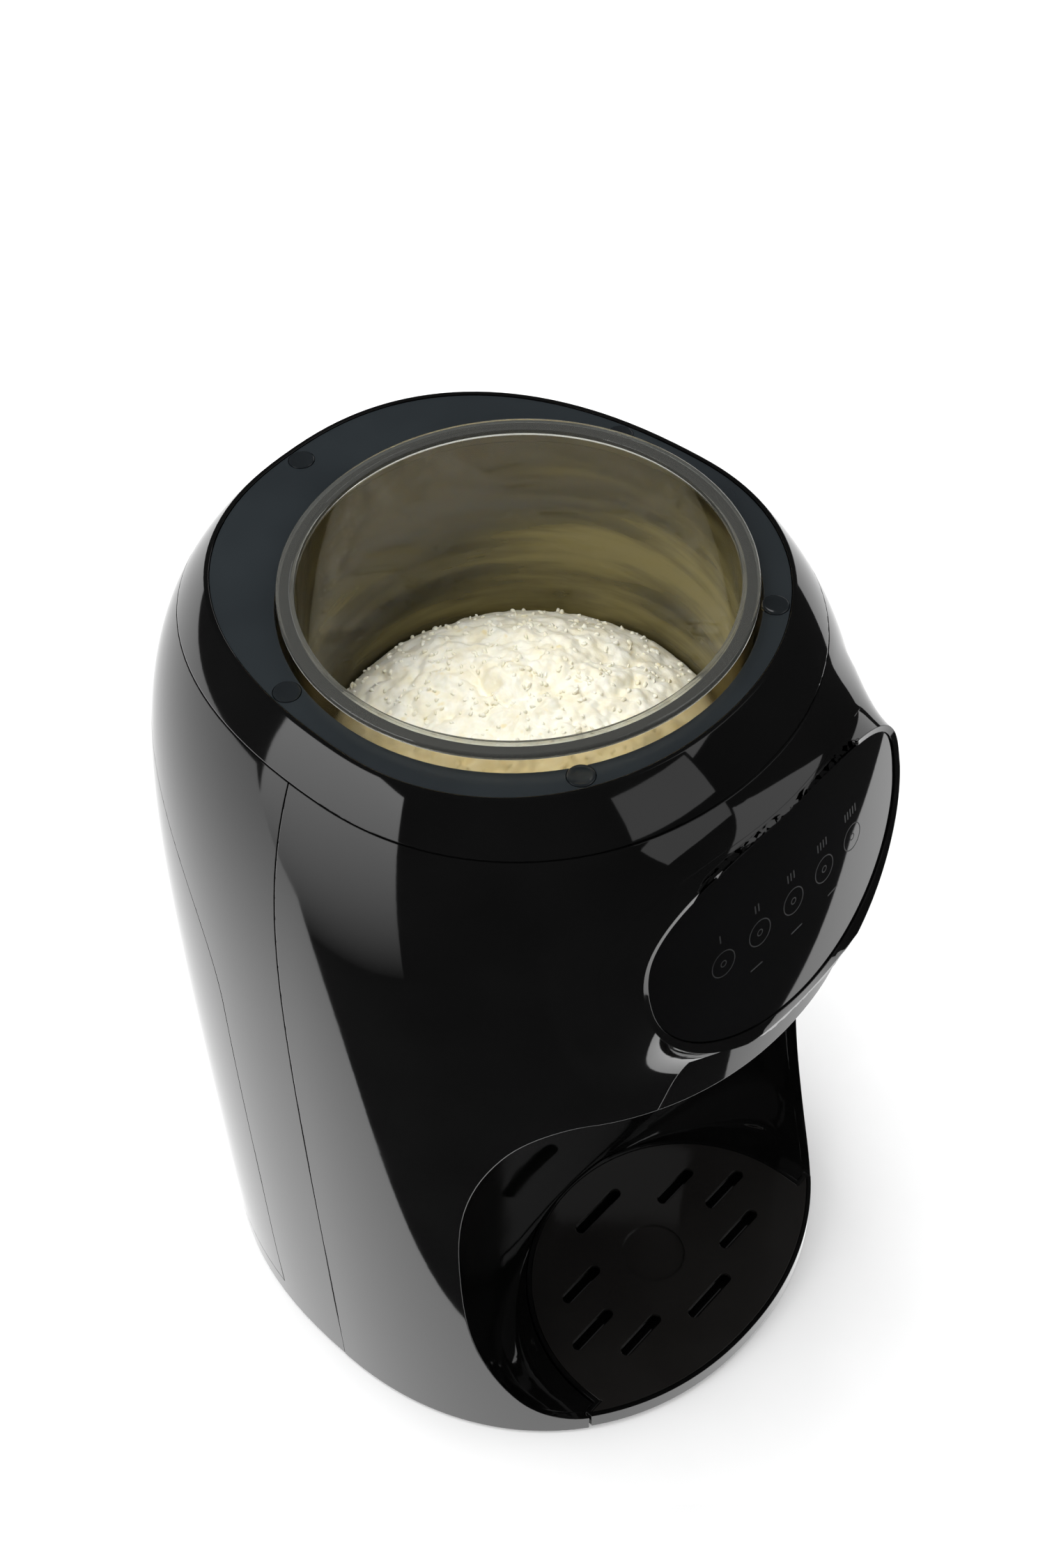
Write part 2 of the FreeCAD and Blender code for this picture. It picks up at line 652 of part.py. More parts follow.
def funnel_drawer():
    z0, z1 = BAY_TOP_Z + 0.1, BAY_TOP_Z + LINER_WALL + 0.3
    half = DRAWER_PLATE_HALF
    plate = box(-half, half, -BIG / 2, DRAWER_BACK_Y, z0, z1)
    flange = box(-half - DRAWER_FLANGE, half + DRAWER_FLANGE, -BIG / 2, DRAWER_BACK_Y, z1, z1 + DRAWER_PLATE_T)
    front_lip = box(-half, half, -BIG / 2, -HALF_DEPTH + 15, z1 + DRAWER_PLATE_T, COVER_TOP_Z - 4)
    drawer = plate.fuse([flange, front_lip]).common(INSIDE)
    behind = body_solid(WALL + 2.5, FOOT_H, DECK_Z).common(band(z1 + DRAWER_PLATE_T, BIG))
    drawer = drawer.cut(behind)
    return drawer.cut(disc(SPOUT_R + FUNNEL_WALL + 0.05, 0, BIG, 0, BAY_Y))


def mixing_funnel():
    r_in, r_out = SPOUT_R, SPOUT_R + FUNNEL_WALL
    z_cone = BAY_TOP_Z + LINER_WALL + 0.3 + DRAWER_PLATE_T
    top = FUNNEL_TOP_Z
    low = BAY_TOP_Z - SPOUT_DROP
    outline = [(r_in, low), (r_out, low), (r_out, z_cone), (r_out + 4, z_cone), (FUNNEL_R, top - 5),
               (FUNNEL_R, top), (FUNNEL_R - FUNNEL_WALL, top), (FUNNEL_R - FUNNEL_WALL, top - 4.4),
               (r_in, z_cone + 1.5)]
    points = [V(r, 0, z) for r, z in outline]
    face = Part.Face(Part.makePolygon(points + points[:1]))
    cone = face.revolve(V(0, 0, 0), V(0, 0, 1), 360)
    cone.translate(V(0, BAY_Y, 0))
    return cone


def nozzle_block():
    z0, z1 = FUNNEL_TOP_Z + 3.2, seat_floor_z() - SEAT_WALL
    block = box(-16, 16, BAY_Y - 30, BAY_Y - 8, z0, z1)
    jets = [Part.makeCone(2.6, 1.6, 2.2, V(x, BAY_Y - 18, z0), V(0, 0, -1)) for x in (-9, 0, 9)]
    elbow = box(16, 19, BAY_Y - 23, BAY_Y - 13, z0, z1)
    return block.fuse(jets + [elbow])


def drip_tray():
    tray = tray_blank(0.0, TRAY_BOTTOM_Z, TRAY_TOP_Z)
    pocket = tray_blank(-TRAY_WALL + GRILLE_LEDGE, TRAY_TOP_Z - GRILLE_T - 0.1, TRAY_TOP_Z + 1)
    hollow = tray_blank(-TRAY_WALL, TRAY_BOTTOM_Z + TRAY_FLOOR, TRAY_TOP_Z)
    return tray.cut([pocket, hollow])


def drip_grille():
    z0, z1 = TRAY_TOP_Z - GRILLE_T, TRAY_TOP_Z
    plate = tray_blank(-TRAY_WALL + GRILLE_LEDGE - GRILLE_GAP, z0, z1)
    cuts = [disc(DISH_R, z1 - DISH_DEPTH, z1 + 1, 0, BAY_Y)]
    r = SLOT_W / 2
    for x, y, length in SLOTS:
        for side in ((1, -1) if x else (1,)):
            u, v, h = side * x, BAY_Y + y, length / 2 - r
            cuts += [box(u - h, u + h, v - r, v + r, z0 - 1, z1 + 1),
                     disc(r, z0 - 1, z1 + 1, u - h, v), disc(r, z0 - 1, z1 + 1, u + h, v)]
    return plate.cut(cuts)


def base_plate():
    plate = body_prism(FOOT_H + BASE_T, WALL + BASE_GAP, FOOT_H, FOOT_H + BASE_T)
    under_tray = tray_blank(TRAY_GAP, TRAY_BOTTOM_Z - 0.1, BIG / 2, forward=1.0)
    cuts = [under_tray]
    cuts += [disc(FOOT_R + 0.2, 0, FOOT_H + 0.5, x, y) for x, y in FEET]
    for angle in BOSS_ANGLES:
        x, y = body_point(BASE_T, angle, BOSS_INSET)
        cuts += [disc(SCREW_R + 0.2, 0, BIG, x, y), disc(SCREW_HEAD_R + 0.3, 0, FOOT_H + 1.6, x, y)]
    return plate.cut(cuts)


def base_screws():
    screws = []
    for angle in BOSS_ANGLES:
        x, y = body_point(BASE_T, angle, BOSS_INSET)
        head = disc(SCREW_HEAD_R, FOOT_H + 0.2, FOOT_H + 1.6, x, y)
        cross = [box(x - 1.8, x + 1.8, y - 0.3, y + 0.3, 0, FOOT_H + 0.9),
                 box(x - 0.3, x + 0.3, y - 1.8, y + 1.8, 0, FOOT_H + 0.9)]
        shank = disc(SCREW_R - 0.1, FOOT_H + 1.6, FOOT_H + BASE_T + SCREW_L - 1, x, y)
        screws.append(head.cut(cross).fuse(shank))
    return Part.makeCompound(screws)


def rubber_feet():
    feet = []
    for x, y in FEET:
        foot = disc(FOOT_R, 0, FOOT_H + 0.5, x, y)
        feet.append(foot.makeFillet(0.6, [e for e in foot.Edges if e.BoundBox.ZMax < 0.01]))
    return Part.makeCompound(feet)


def bulkhead():
    """Wall, shelf and roof of the bay that the tank slides into."""
    gap, t = TANK_GAP, TANK_GAP + BULKHEAD_T
    roof = VESSEL_TOP_Z + LID_T + TANK_ROOF_GAP
    wall = box(-BIG, BIG, TANK_FRONT_Y - t, BIG, TANK_BOTTOM_Z - t, roof + BULKHEAD_T)
    wall = wall.cut(box(-BIG, BIG, TANK_FRONT_Y - gap, BIG, TANK_BOTTOM_Z - gap, roof))
    loose = body_solid(WALL + TANK_GAP, -4.0, DECK_Z + 3.0)
    wall = wall.common(INSIDE).cut(box(-BIG, BIG, TANK_FRONT_Y, BIG, 0, BIG).cut(loose))
    hole = Part.makeCylinder(SPIGOT_R + 3.2, 20, V(0, TANK_FRONT_Y - 10, SPIGOT_Z), V(0, 1, 0))
    return wall.cut(hole)


def rear_cover():
    return SKIN.common(tank_prism(-TANK_GAP))


def vessel_blank(extra, z0, z1):
    inset = WALL + VESSEL_CLEAR + extra
    return body_solid(inset, FOOT_H, DECK_Z).common(tank_prism(-TANK_GAP - extra)).common(band(z0, z1))


def tank_vessel():
    vessel = vessel_blank(0.0, TANK_BOTTOM_Z, VESSEL_TOP_Z)
    vessel = vessel.cut(vessel_blank(TANK_WALL, TANK_BOTTOM_Z, BIG))
    hole = Part.makeCylinder(SPIGOT_R - 0.5, 20, V(0, TANK_FRONT_Y - 10, SPIGOT_Z), V(0, 1, 0))
    return vessel.cut(hole)


def tank_lid():
    lid = vessel_blank(0.0, VESSEL_TOP_Z, VESSEL_TOP_Z + LID_T)
    plug = vessel_blank(TANK_WALL + 0.2, VESSEL_TOP_Z - 3, VESSEL_TOP_Z)
    plug = plug.cut(vessel_blank(TANK_WALL + 2.2, 0, BIG))
    return lid.fuse(plug).cut(disc(FILLER_R, 0, BIG, 0, 0.5 * (TANK_FRONT_Y + HALF_DEPTH)))


def tank_valve():
    y0 = TANK_FRONT_Y + TANK_GAP
    spigot = Part.makeCylinder(SPIGOT_R, SPIGOT_L, V(0, y0 - SPIGOT_L, SPIGOT_Z), V(0, 1, 0))
    flange = Part.makeCylinder(SPIGOT_R + 3, 2.5, V(0, y0 + TANK_WALL, SPIGOT_Z), V(0, 1, 0))
    stem = Part.makeCylinder(SPIGOT_R - 0.6, TANK_WALL, V(0, y0, SPIGOT_Z), V(0, 1, 0))
    bore = Part.makeCylinder(2.2, 40, V(0, y0 - 20, SPIGOT_Z), V(0, 1, 0))
    return spigot.fuse([stem, flange]).cut(bore)


def tank_socket():
    y1 = TANK_FRONT_Y - TANK_GAP
    length = SPIGOT_L + 3.0
    body = Part.makeCylinder(SPIGOT_R + 3.0, length, V(0, y1 - length, SPIGOT_Z), V(0, 1, 0))
    bore = Part.makeCylinder(SPIGOT_R + SOCKET_GAP, SPIGOT_L + 1, V(0, y1 - SPIGOT_L - 0.8, SPIGOT_Z), V(0, 1, 0))
    tail = Part.makeCylinder(TUBE_R, 6, V(0, y1 - length - 6, SPIGOT_Z), V(0, 1, 0))
    foot = box(-7, 7, y1 - length, y1 - 3, FOOT_H + BASE_T, SPIGOT_Z)
    return body.fuse([foot, tail]).cut(bore)


def water_pump():
    x, z = PUMP_XZ
    y0 = BAY_BACK_Y + LINER_WALL + 6
    body = Part.makeCylinder(PUMP_R, 26, V(x - 34, y0 + PUMP_R, z), V(1, 0, 0))
    head = Part.makeCylinder(PUMP_R - 3, 8, V(x - 8, y0 + PUMP_R, z), V(1, 0, 0))
    foot = box(x - 28, x - 14, y0 + 4, y0 + 2 * PUMP_R - 4, FOOT_H + BASE_T, z)
    return body.fuse([head, foot])


def heater():
    x, y = HEATER_XY
    z0, z1 = HEATER_Z
    can = disc(HEATER_R, z0, z1, x, y)
    caps = [disc(HEATER_R - 2, z0 - 3, z0, x, y), disc(HEATER_R - 2, z1, z1 + 3, x, y)]
    strap = disc(HEATER_R + 1.2, z0 + 30, z0 + 38, x, y)
    strap_high = disc(HEATER_R + 1.2, z1 - 38, z1 - 30, x, y)
    stand = box(x - 5, x + 5, y - 1, y + 7, FOOT_H + BASE_T, z0 - 3)
    return can.fuse(caps + [strap, strap_high, stand])


def supply_tube():
    x, z = PUMP_XZ
    y1 = TANK_FRONT_Y - TANK_GAP - SPIGOT_L - 3.0
    y_pump = BAY_BACK_Y + LINER_WALL + 6 + PUMP_R
    return hose([V(0, y1 - 6, SPIGOT_Z), V(0, y_pump, SPIGOT_Z), V(14, y_pump, z), V(x, y_pump, z)], 4.0)


def outlet_tube():
    x, y = HEATER_XY
    z1 = HEATER_Z[1] + 3
    zn = 0.5 * (FUNNEL_TOP_Z + 3.2 + seat_floor_z() - SEAT_WALL)
    pts = [V(x, y, z1), V(x, y, zn), V(x, BAY_Y - 18, zn), V(-16, BAY_Y - 18, zn)]
    return hose(pts, 10.0)


def pump_tube():
    x, y = HEATER_XY
    xp, zp = PUMP_XZ
    y_pump = BAY_BACK_Y + LINER_WALL + 6 + PUMP_R
    z_turn = HEATER_Z[0] - 12
    pts = [V(xp - 34, y_pump, zp), V(x - 22, y_pump, zp), V(x - 22, y, z_turn), V(x - 15.5, y, z_turn + 6.5)]
    return hose(pts, 6.0)


def main_board():
    x0 = 52.0
    y0, y1 = -14.0, 27.0
    z0, z1 = 40.0, 180.0
    board = box(x0, x0 + BOARD_T, y0, y1, z0, z1)
    feet = box(x0 - 3, x0 + BOARD_T + 3, y0, y1, FOOT_H + BASE_T, z0)
    parts = [feet]
    for y, z, r, h in ((-4, 60, 6, 18), (12, 62, 6, 18), (2, 90, 5, 14)):
        parts.append(Part.makeCylinder(r, h, V(x0 + BOARD_T, y, z), V(1, 0, 0)))
    for y, z, w, h, t in ((16, 92, 14, 16, 14), (-2, 120, 22, 22, 5), (14, 150, 16, 12, 10)):
        parts.append(box(x0 + BOARD_T, x0 + BOARD_T + t, y - w / 2, y + w / 2, z - h / 2, z + h / 2))
    return board.fuse(parts)


def power_inlet():
    x_out = body_point(INLET_Z, 12, 0)[0]
    x0 = x_out - INLET_DEPTH
    y0, y1 = INLET_Y - INLET_W / 2, INLET_Y + INLET_W / 2
    z0, z1 = INLET_Z - INLET_H / 2, INLET_Z + INLET_H / 2
    block = box(x0, BIG / 2, y0, y1, z0, z1).common(OUTER)
    back = box(x0 - 4, x0, y0 - 3, y1 + 3, z0 - 2, z1 + 2)
    well = box(x0 + 1.5, BIG / 2, y0 + 2.5, y1 - 2.5, z0 + 2.5, z1 - 2.5)
    blades = [box(x0 + 1, x_out - 6, INLET_Y + dy - 1, INLET_Y + dy + 1, INLET_Z + dz - 2, INLET_Z + dz + 2)
              for dy, dz in ((-6, 0), (0, 1.5), (6, 0))]
    return block.fuse(back).cut(well).fuse(blades)


PIECES = {
    "front_shell": front_shell, "rear_shell": rear_shell, "top_collar": top_collar, "deck_plate": deck_plate,
    "screw_caps": screw_caps, "hopper_seat": hopper_seat, "powder_chute": powder_chute,
    "drive_bush": drive_bush, "hopper_tub": hopper_tub, "hopper_rim": hopper_rim,
    "dosing_wheel": dosing_wheel, "powder_charge": powder_charge, "drive_shaft": drive_shaft,
    "drive_gear": drive_gear, "motor_pinion": motor_pinion, "gear_motor": gear_motor,
    "motor_bracket": motor_bracket, "bay_liner": bay_liner, "panel_hood": panel_hood,
    "touch_panel": touch_panel, "panel_board": panel_board, "funnel_cover": funnel_cover,
    "funnel_drawer": funnel_drawer, "mixing_funnel": mixing_funnel, "nozzle_block": nozzle_block,
    "drip_tray": drip_tray, "drip_grille": drip_grille, "base_plate": base_plate,
    "base_screws": base_screws, "rubber_feet": rubber_feet, "tank_bulkhead": bulkhead,
    "rear_cover": rear_cover, "tank_vessel": tank_vessel, "tank_lid": tank_lid,
    "tank_valve": tank_valve, "tank_socket": tank_socket, "water_pump": water_pump, "heater": heater,
    "supply_tube": supply_tube, "pump_tube": pump_tube, "outlet_tube": outlet_tube,
    "main_board": main_board, "power_inlet": power_inlet,
}

os.makedirs("parts", exist_ok=True)
for name, make in PIECES.items():
    shape = tidy(make())
    print(name, len(shape.Solids), round(shape.Volume), shape.isValid(),
          [round(v, 1) for v in (shape.BoundBox.XMin, shape.BoundBox.XMax, shape.BoundBox.YMin,
                                 shape.BoundBox.YMax, shape.BoundBox.ZMin, shape.BoundBox.ZMax)])
    shape.exportStep("parts/" + name + ".step")
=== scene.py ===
"""Powdered milk drink maker: its visible pieces, finishes, studio and camera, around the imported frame.

Lengths in the dataclasses are millimetres. Meshes are metres, in the frame's own axes: the user's right
is +X, the front is -Y and up is +Z.
"""
import logging
import math
from dataclasses import dataclass, field
from enum import Enum

import bmesh
import bpy
import numpy as np
from mathutils import Matrix, Vector, noise


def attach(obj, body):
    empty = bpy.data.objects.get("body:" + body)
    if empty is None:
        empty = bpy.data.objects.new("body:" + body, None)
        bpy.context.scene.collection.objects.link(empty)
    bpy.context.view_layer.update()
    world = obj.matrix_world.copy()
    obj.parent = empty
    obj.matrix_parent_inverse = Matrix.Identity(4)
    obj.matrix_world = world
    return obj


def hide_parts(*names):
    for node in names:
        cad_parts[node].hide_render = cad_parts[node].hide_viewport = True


LOG = logging.getLogger("drink_maker")
MM = 0.001
HOPPER_Y = -7.5
DECK_Z = 325.0
RIM_Z = 331.0
RIM_T = 2.3
CLOUD_MM = 38.0
WELD_MM = 0.002
CREASE = math.radians(24)
SHARP = math.radians(30)
TINY = 1e-9


def srgb(code: str) -> tuple[float, float, float, float]:
    """Turn a colour into linear light.

    Args:
        code: Hex value such as "#2E3133".

    Returns:
        Linear red, green, blue and an alpha of one.
    """
    parts = [int(code[i:i + 2], 16) / 255 for i in (1, 3, 5)]
    line = [p / 12.92 if p <= 0.04045 else ((p + 0.055) / 1.055) ** 2.4 for p in parts]
    return (line[0], line[1], line[2], 1.0)


def add_node(tree: bpy.types.NodeTree, kind: str, values: dict | None = None,
             **settings: object) -> bpy.types.Node:
    """Add one node.

    Args:
        tree: Tree that gets the node.
        kind: Blender's name of the node type.
        values: Input name or number to a plain value, or to an output socket that is linked to it.
        settings: Properties of the node itself.

    Returns:
        The new node.
    """
    node = tree.nodes.new(kind)
    for key, value in settings.items():
        setattr(node, key, value)
    for key, value in (values or {}).items():
        socket = node.inputs[key]
        if isinstance(value, bpy.types.NodeSocket):
            tree.links.new(value, socket)
        else:
            socket.default_value = value
    return node


def ramp(tree: bpy.types.NodeTree, source: bpy.types.NodeSocket,
         stops: list[tuple[float, str]]) -> bpy.types.NodeSocket:
    """Colour ramp.

    Args:
        tree: Tree that gets the node.
        source: Value that picks the colour.
        stops: Position and hex colour of each stop, two or more.

    Returns:
        The colour output.
    """
    node = add_node(tree, "ShaderNodeValToRGB", {0: source})
    points = node.color_ramp.elements
    for position, _ in stops[2:]:
        points.new(position)
    for point, (position, code) in zip(points, sorted(stops)):
        point.position = position
        point.color = srgb(code)
    return node.outputs[0]


def grain(tree: bpy.types.NodeTree, size_mm: float, detail: float = 3.0,
          stretch: tuple[float, float, float] = (1.0, 1.0, 1.0)) -> bpy.types.NodeSocket:
    """Noise whose features are about one size.

    Args:
        tree: Tree that gets the nodes.
        size_mm: Size of a feature.
        detail: Octaves of finer noise.
        stretch: How much longer features are along each axis.

    Returns:
        The noise value, from 0 to 1.
    """
    where = add_node(tree, "ShaderNodeTexCoord").outputs["Object"]
    scale = tuple(1.0 / s for s in stretch)
    placed = add_node(tree, "ShaderNodeMapping", {"Vector": where, "Scale": scale})
    made = add_node(tree, "ShaderNodeTexNoise", {"Vector": placed.outputs[0], "Scale": 1.0 / (size_mm * MM),
                                                 "Detail": detail})
    return made.outputs["Factor" if "Factor" in made.outputs else 0]


def spread(tree: bpy.types.NodeTree, source: bpy.types.NodeSocket, low: float, high: float,
           start: float = 0.0, end: float = 1.0) -> bpy.types.NodeSocket:
    """Map source from start..end to low..high, and keep it there.

    Args:
        tree: Tree that gets the node.
        source: Value to map.
        low: Result at start.
        high: Result at end.
        start: Source value that gives low.
        end: Source value that gives high.

    Returns:
        The mapped value.
    """
    made = add_node(tree, "ShaderNodeMapRange", {0: source, 1: start, 2: end, 3: low, 4: high}, clamp=True)
    return made.outputs[0]


def maths(tree: bpy.types.NodeTree, operation: str, *terms: object,
          kind: str = "Math") -> bpy.types.NodeSocket:
    """One step of arithmetic.

    Args:
        tree: Tree that gets the node.
        operation: Blender's name of the step.
        terms: Sockets or plain values.
        kind: "Math", or "VectorMath" for vectors.

    Returns:
        The result.
    """
    made = add_node(tree, "ShaderNode" + kind, dict(enumerate(terms)), operation=operation)
    return made.outputs["Value" if operation == "LENGTH" else 0]


def principled(tree: bpy.types.NodeTree, values: dict) -> bpy.types.NodeSocket:
    """Principled surface with the given inputs; returns its shader output."""
    return add_node(tree, "ShaderNodeBsdfPrincipled", values).outputs[0]


def relief(tree: bpy.types.NodeTree, height: bpy.types.NodeSocket, tall_mm: float,
           **more: bpy.types.NodeSocket) -> bpy.types.NodeSocket:
    """Bump of a given height; returns the bent normal."""
    values = {"Height": height, "Distance": tall_mm * MM, "Strength": 1.0} | more
    return add_node(tree, "ShaderNodeBump", values).outputs[0]


def blank_tree(owner: bpy.types.Material | bpy.types.World) -> bpy.types.NodeTree:
    """Switch a material's or world's nodes on, and return its tree, emptied."""
    owner.use_nodes = True
    owner.node_tree.nodes.clear()
    return owner.node_tree


def linked(name: str, data: bpy.types.ID) -> bpy.types.Object:
    """Wrap data in a new object of the scene."""
    made = bpy.data.objects.new(name, data)
    bpy.context.scene.collection.objects.link(made)
    return made


@dataclass(frozen=True)
class Finish:
    """Base of every finish: a named material that is made once."""

    name: str
    slot: str

    def material(self) -> bpy.types.Material:
        """Return the material, made on first use."""
        known = bpy.data.materials.get(self.name)
        if known:
            return known
        made = bpy.data.materials.new(self.name)
        tree = blank_tree(made)
        add_node(tree, "ShaderNodeOutputMaterial", {"Surface": self.surface(tree)})
        return made

    def surface(self, tree: bpy.types.NodeTree) -> bpy.types.NodeSocket:
        """Build the shader and return its output."""
        raise NotImplementedError


@dataclass(frozen=True)
class Moulded(Finish):
    """Moulded plastic, rubber or enamel: one colour, a faint cloudiness, and the mould's own texture."""

    low: str
    high: str
    rough: tuple[float, float]
    grain_mm: float
    bump_mm: float
    ior: float = 1.5
    edge_mm: float = 0.0
    coat: float = 0.0

    def surface(self, tree: bpy.types.NodeTree) -> bpy.types.NodeSocket:
        """Build the shader and return its output."""
        cloud = grain(tree, CLOUD_MM, 2.0)
        fine = grain(tree, self.grain_mm, 2.0)
        colour = ramp(tree, cloud, [(0.3, self.low), (0.7, self.high)])
        rough = spread(tree, cloud, *self.rough, 0.3, 0.7)
        base = {}
        if self.edge_mm:
            edge = add_node(tree, "ShaderNodeBevel", {"Radius": self.edge_mm * MM}, samples=4)
            base["Normal"] = edge.outputs[0]
        return principled(tree, {
            "Base Color": colour, "Roughness": rough, "IOR": self.ior, "Coat Weight": self.coat,
            "Normal": relief(tree, fine, self.bump_mm, **base)})


@dataclass(frozen=True)
class AmberHopper(Finish):
    """Tinted clear copolyester, injection moulded: amber where light passes, dusted with milk powder inside.

    The dust is wiped round the wall in bands, thicker low down.
    """

    tint: str
    dust: str
    dust_dark: str
    fade_z: tuple[float, float] = (296.0, 322.0)
    flank_x: tuple[float, float] = (30.0, 60.0)
    inner_r: tuple[float, float] = (65.2, 65.6)

    def surface(self, tree: bpy.types.NodeTree) -> bpy.types.NodeSocket:
        """Build the shader and return its output."""
        where = add_node(tree, "ShaderNodeTexCoord").outputs["Object"]
        split = add_node(tree, "ShaderNodeSeparateXYZ", {0: where})
        swirl = grain(tree, 34.0, 5.0, (2.6, 2.6, 0.55))
        streak = grain(tree, 9.0, 4.0, (4.0, 4.0, 0.5))
        height, across = split.outputs["Z"], maths(tree, "ABSOLUTE", split.outputs["X"])
        low_down = spread(tree, height, 0.10, -0.34, self.fade_z[0] * MM, self.fade_z[1] * MM)
        flank = spread(tree, across, -0.05, 0.16, self.flank_x[0] * MM, self.flank_x[1] * MM)
        wiped = swirl
        for term in (spread(tree, streak, -0.16, 0.16), low_down, flank):
            wiped = maths(tree, "ADD", wiped, term)
        cover = spread(tree, wiped, 0.16, 0.86, 0.36, 0.74)
        arm = maths(tree, "SUBTRACT", where, (0.0, HOPPER_Y * MM, 0.0), kind="VectorMath")
        flat = maths(tree, "MULTIPLY", arm, (1.0, 1.0, 0.0), kind="VectorMath")
        radius = maths(tree, "LENGTH", flat, kind="VectorMath")
        inside = spread(tree, radius, 1.0, 0.0, self.inner_r[0] * MM, self.inner_r[1] * MM)
        clear = principled(tree, {
            "Base Color": srgb(self.tint), "Roughness": 0.06, "IOR": 1.55, "Transmission Weight": 1.0})
        dusty = principled(tree, {
            "Base Color": ramp(tree, wiped, [(0.34, self.dust_dark), (0.80, self.dust)]), "Roughness": 0.55,
            "IOR": 1.45, "Coat Weight": 0.35, "Normal": relief(tree, streak, 0.25)})
        amount = maths(tree, "MULTIPLY", cover, inside)
        return add_node(tree, "ShaderNodeMixShader", {0: amount, 1: clear, 2: dusty}).outputs[0]


@dataclass(frozen=True)
class Clear(Finish):
    """Clear plastic, moulded and polished, with a faint haze."""

    tint: str
    rough: tuple[float, float]
    through: float

    def surface(self, tree: bpy.types.NodeTree) -> bpy.types.NodeSocket:
        """Build the shader and return its output."""
        haze = grain(tree, 12.0, 3.0)
        return principled(tree, {
            "Base Color": srgb(self.tint), "Roughness": spread(tree, haze, *self.rough), "IOR": 1.52,
            "Transmission Weight": self.through})


@dataclass(frozen=True)
class MilkPowder(Finish):
    """Spray-dried milk powder: soft off-white clumps with a few buttery bits."""

    pale: str
    cream: str
    butter: str

    def surface(self, tree: bpy.types.NodeTree) -> bpy.types.NodeSocket:
        """Build the shader and return its output."""
        clump = grain(tree, 6.0, 4.0)
        fleck = grain(tree, 4.0, 1.0)
        dust = grain(tree, 1.3, 3.0)
        body = ramp(tree, clump, [(0.30, self.cream), (0.62, self.pale)])
        mask = spread(tree, fleck, 0.0, 0.6, 0.68, 0.78)
        colour = add_node(tree, "ShaderNodeMix", {0: mask, 6: body, 7: srgb(self.butter)}, data_type="RGBA")
        return principled(tree, {
            "Base Color": colour.outputs[2], "Roughness": 0.95, "IOR": 1.4, "Specular IOR Level": 0.25,
            "Subsurface Weight": 0.25, "Subsurface Radius": (0.6 * MM, 0.5 * MM, 0.35 * MM),
            "Subsurface Scale": 1.0, "Normal": relief(tree, dust, 0.16)})


@dataclass(frozen=True)
class Metal(Finish):
    """Machined or cast metal, with fine tool marks."""

    low: str
    high: str
    rough: tuple[float, float]
    mark_mm: float

    def surface(self, tree: bpy.types.NodeTree) -> bpy.types.NodeSocket:
        """Build the shader and return its output."""
        mark = grain(tree, self.mark_mm, 4.0, (1.0, 1.0, 6.0))
        return principled(tree, {
            "Base Color": ramp(tree, mark, [(0.3, self.low), (0.7, self.high)]), "Metallic": 1.0,
            "Roughness": spread(tree, mark, *self.rough), "Normal": relief(tree, mark, 0.04)})


@dataclass(frozen=True)
class CircuitBoard(Finish):
    """Glass-epoxy board under solder mask, with copper tracks a millimetre or two apart."""

    mask: str
    track: str

    def surface(self, tree: bpy.types.NodeTree) -> bpy.types.NodeSocket:
        """Build the shader and return its output."""
        where = add_node(tree, "ShaderNodeTexCoord").outputs["Object"]
        cells = add_node(tree, "ShaderNodeTexVoronoi", {"Vector": where, "Scale": 1.0 / (5.0 * MM)},
                         feature="DISTANCE_TO_EDGE", distance="EUCLIDEAN")
        line = spread(tree, cells.outputs[0], 1.0, 0.0, 0.04, 0.07)
        colour = add_node(tree, "ShaderNodeMix", {0: line, 6: srgb(self.mask), 7: srgb(self.track)},
                          data_type="RGBA")
        return principled(tree, {
            "Base Color": colour.outputs[2], "Roughness": spread(tree, line, 0.35, 0.28), "IOR": 1.5})


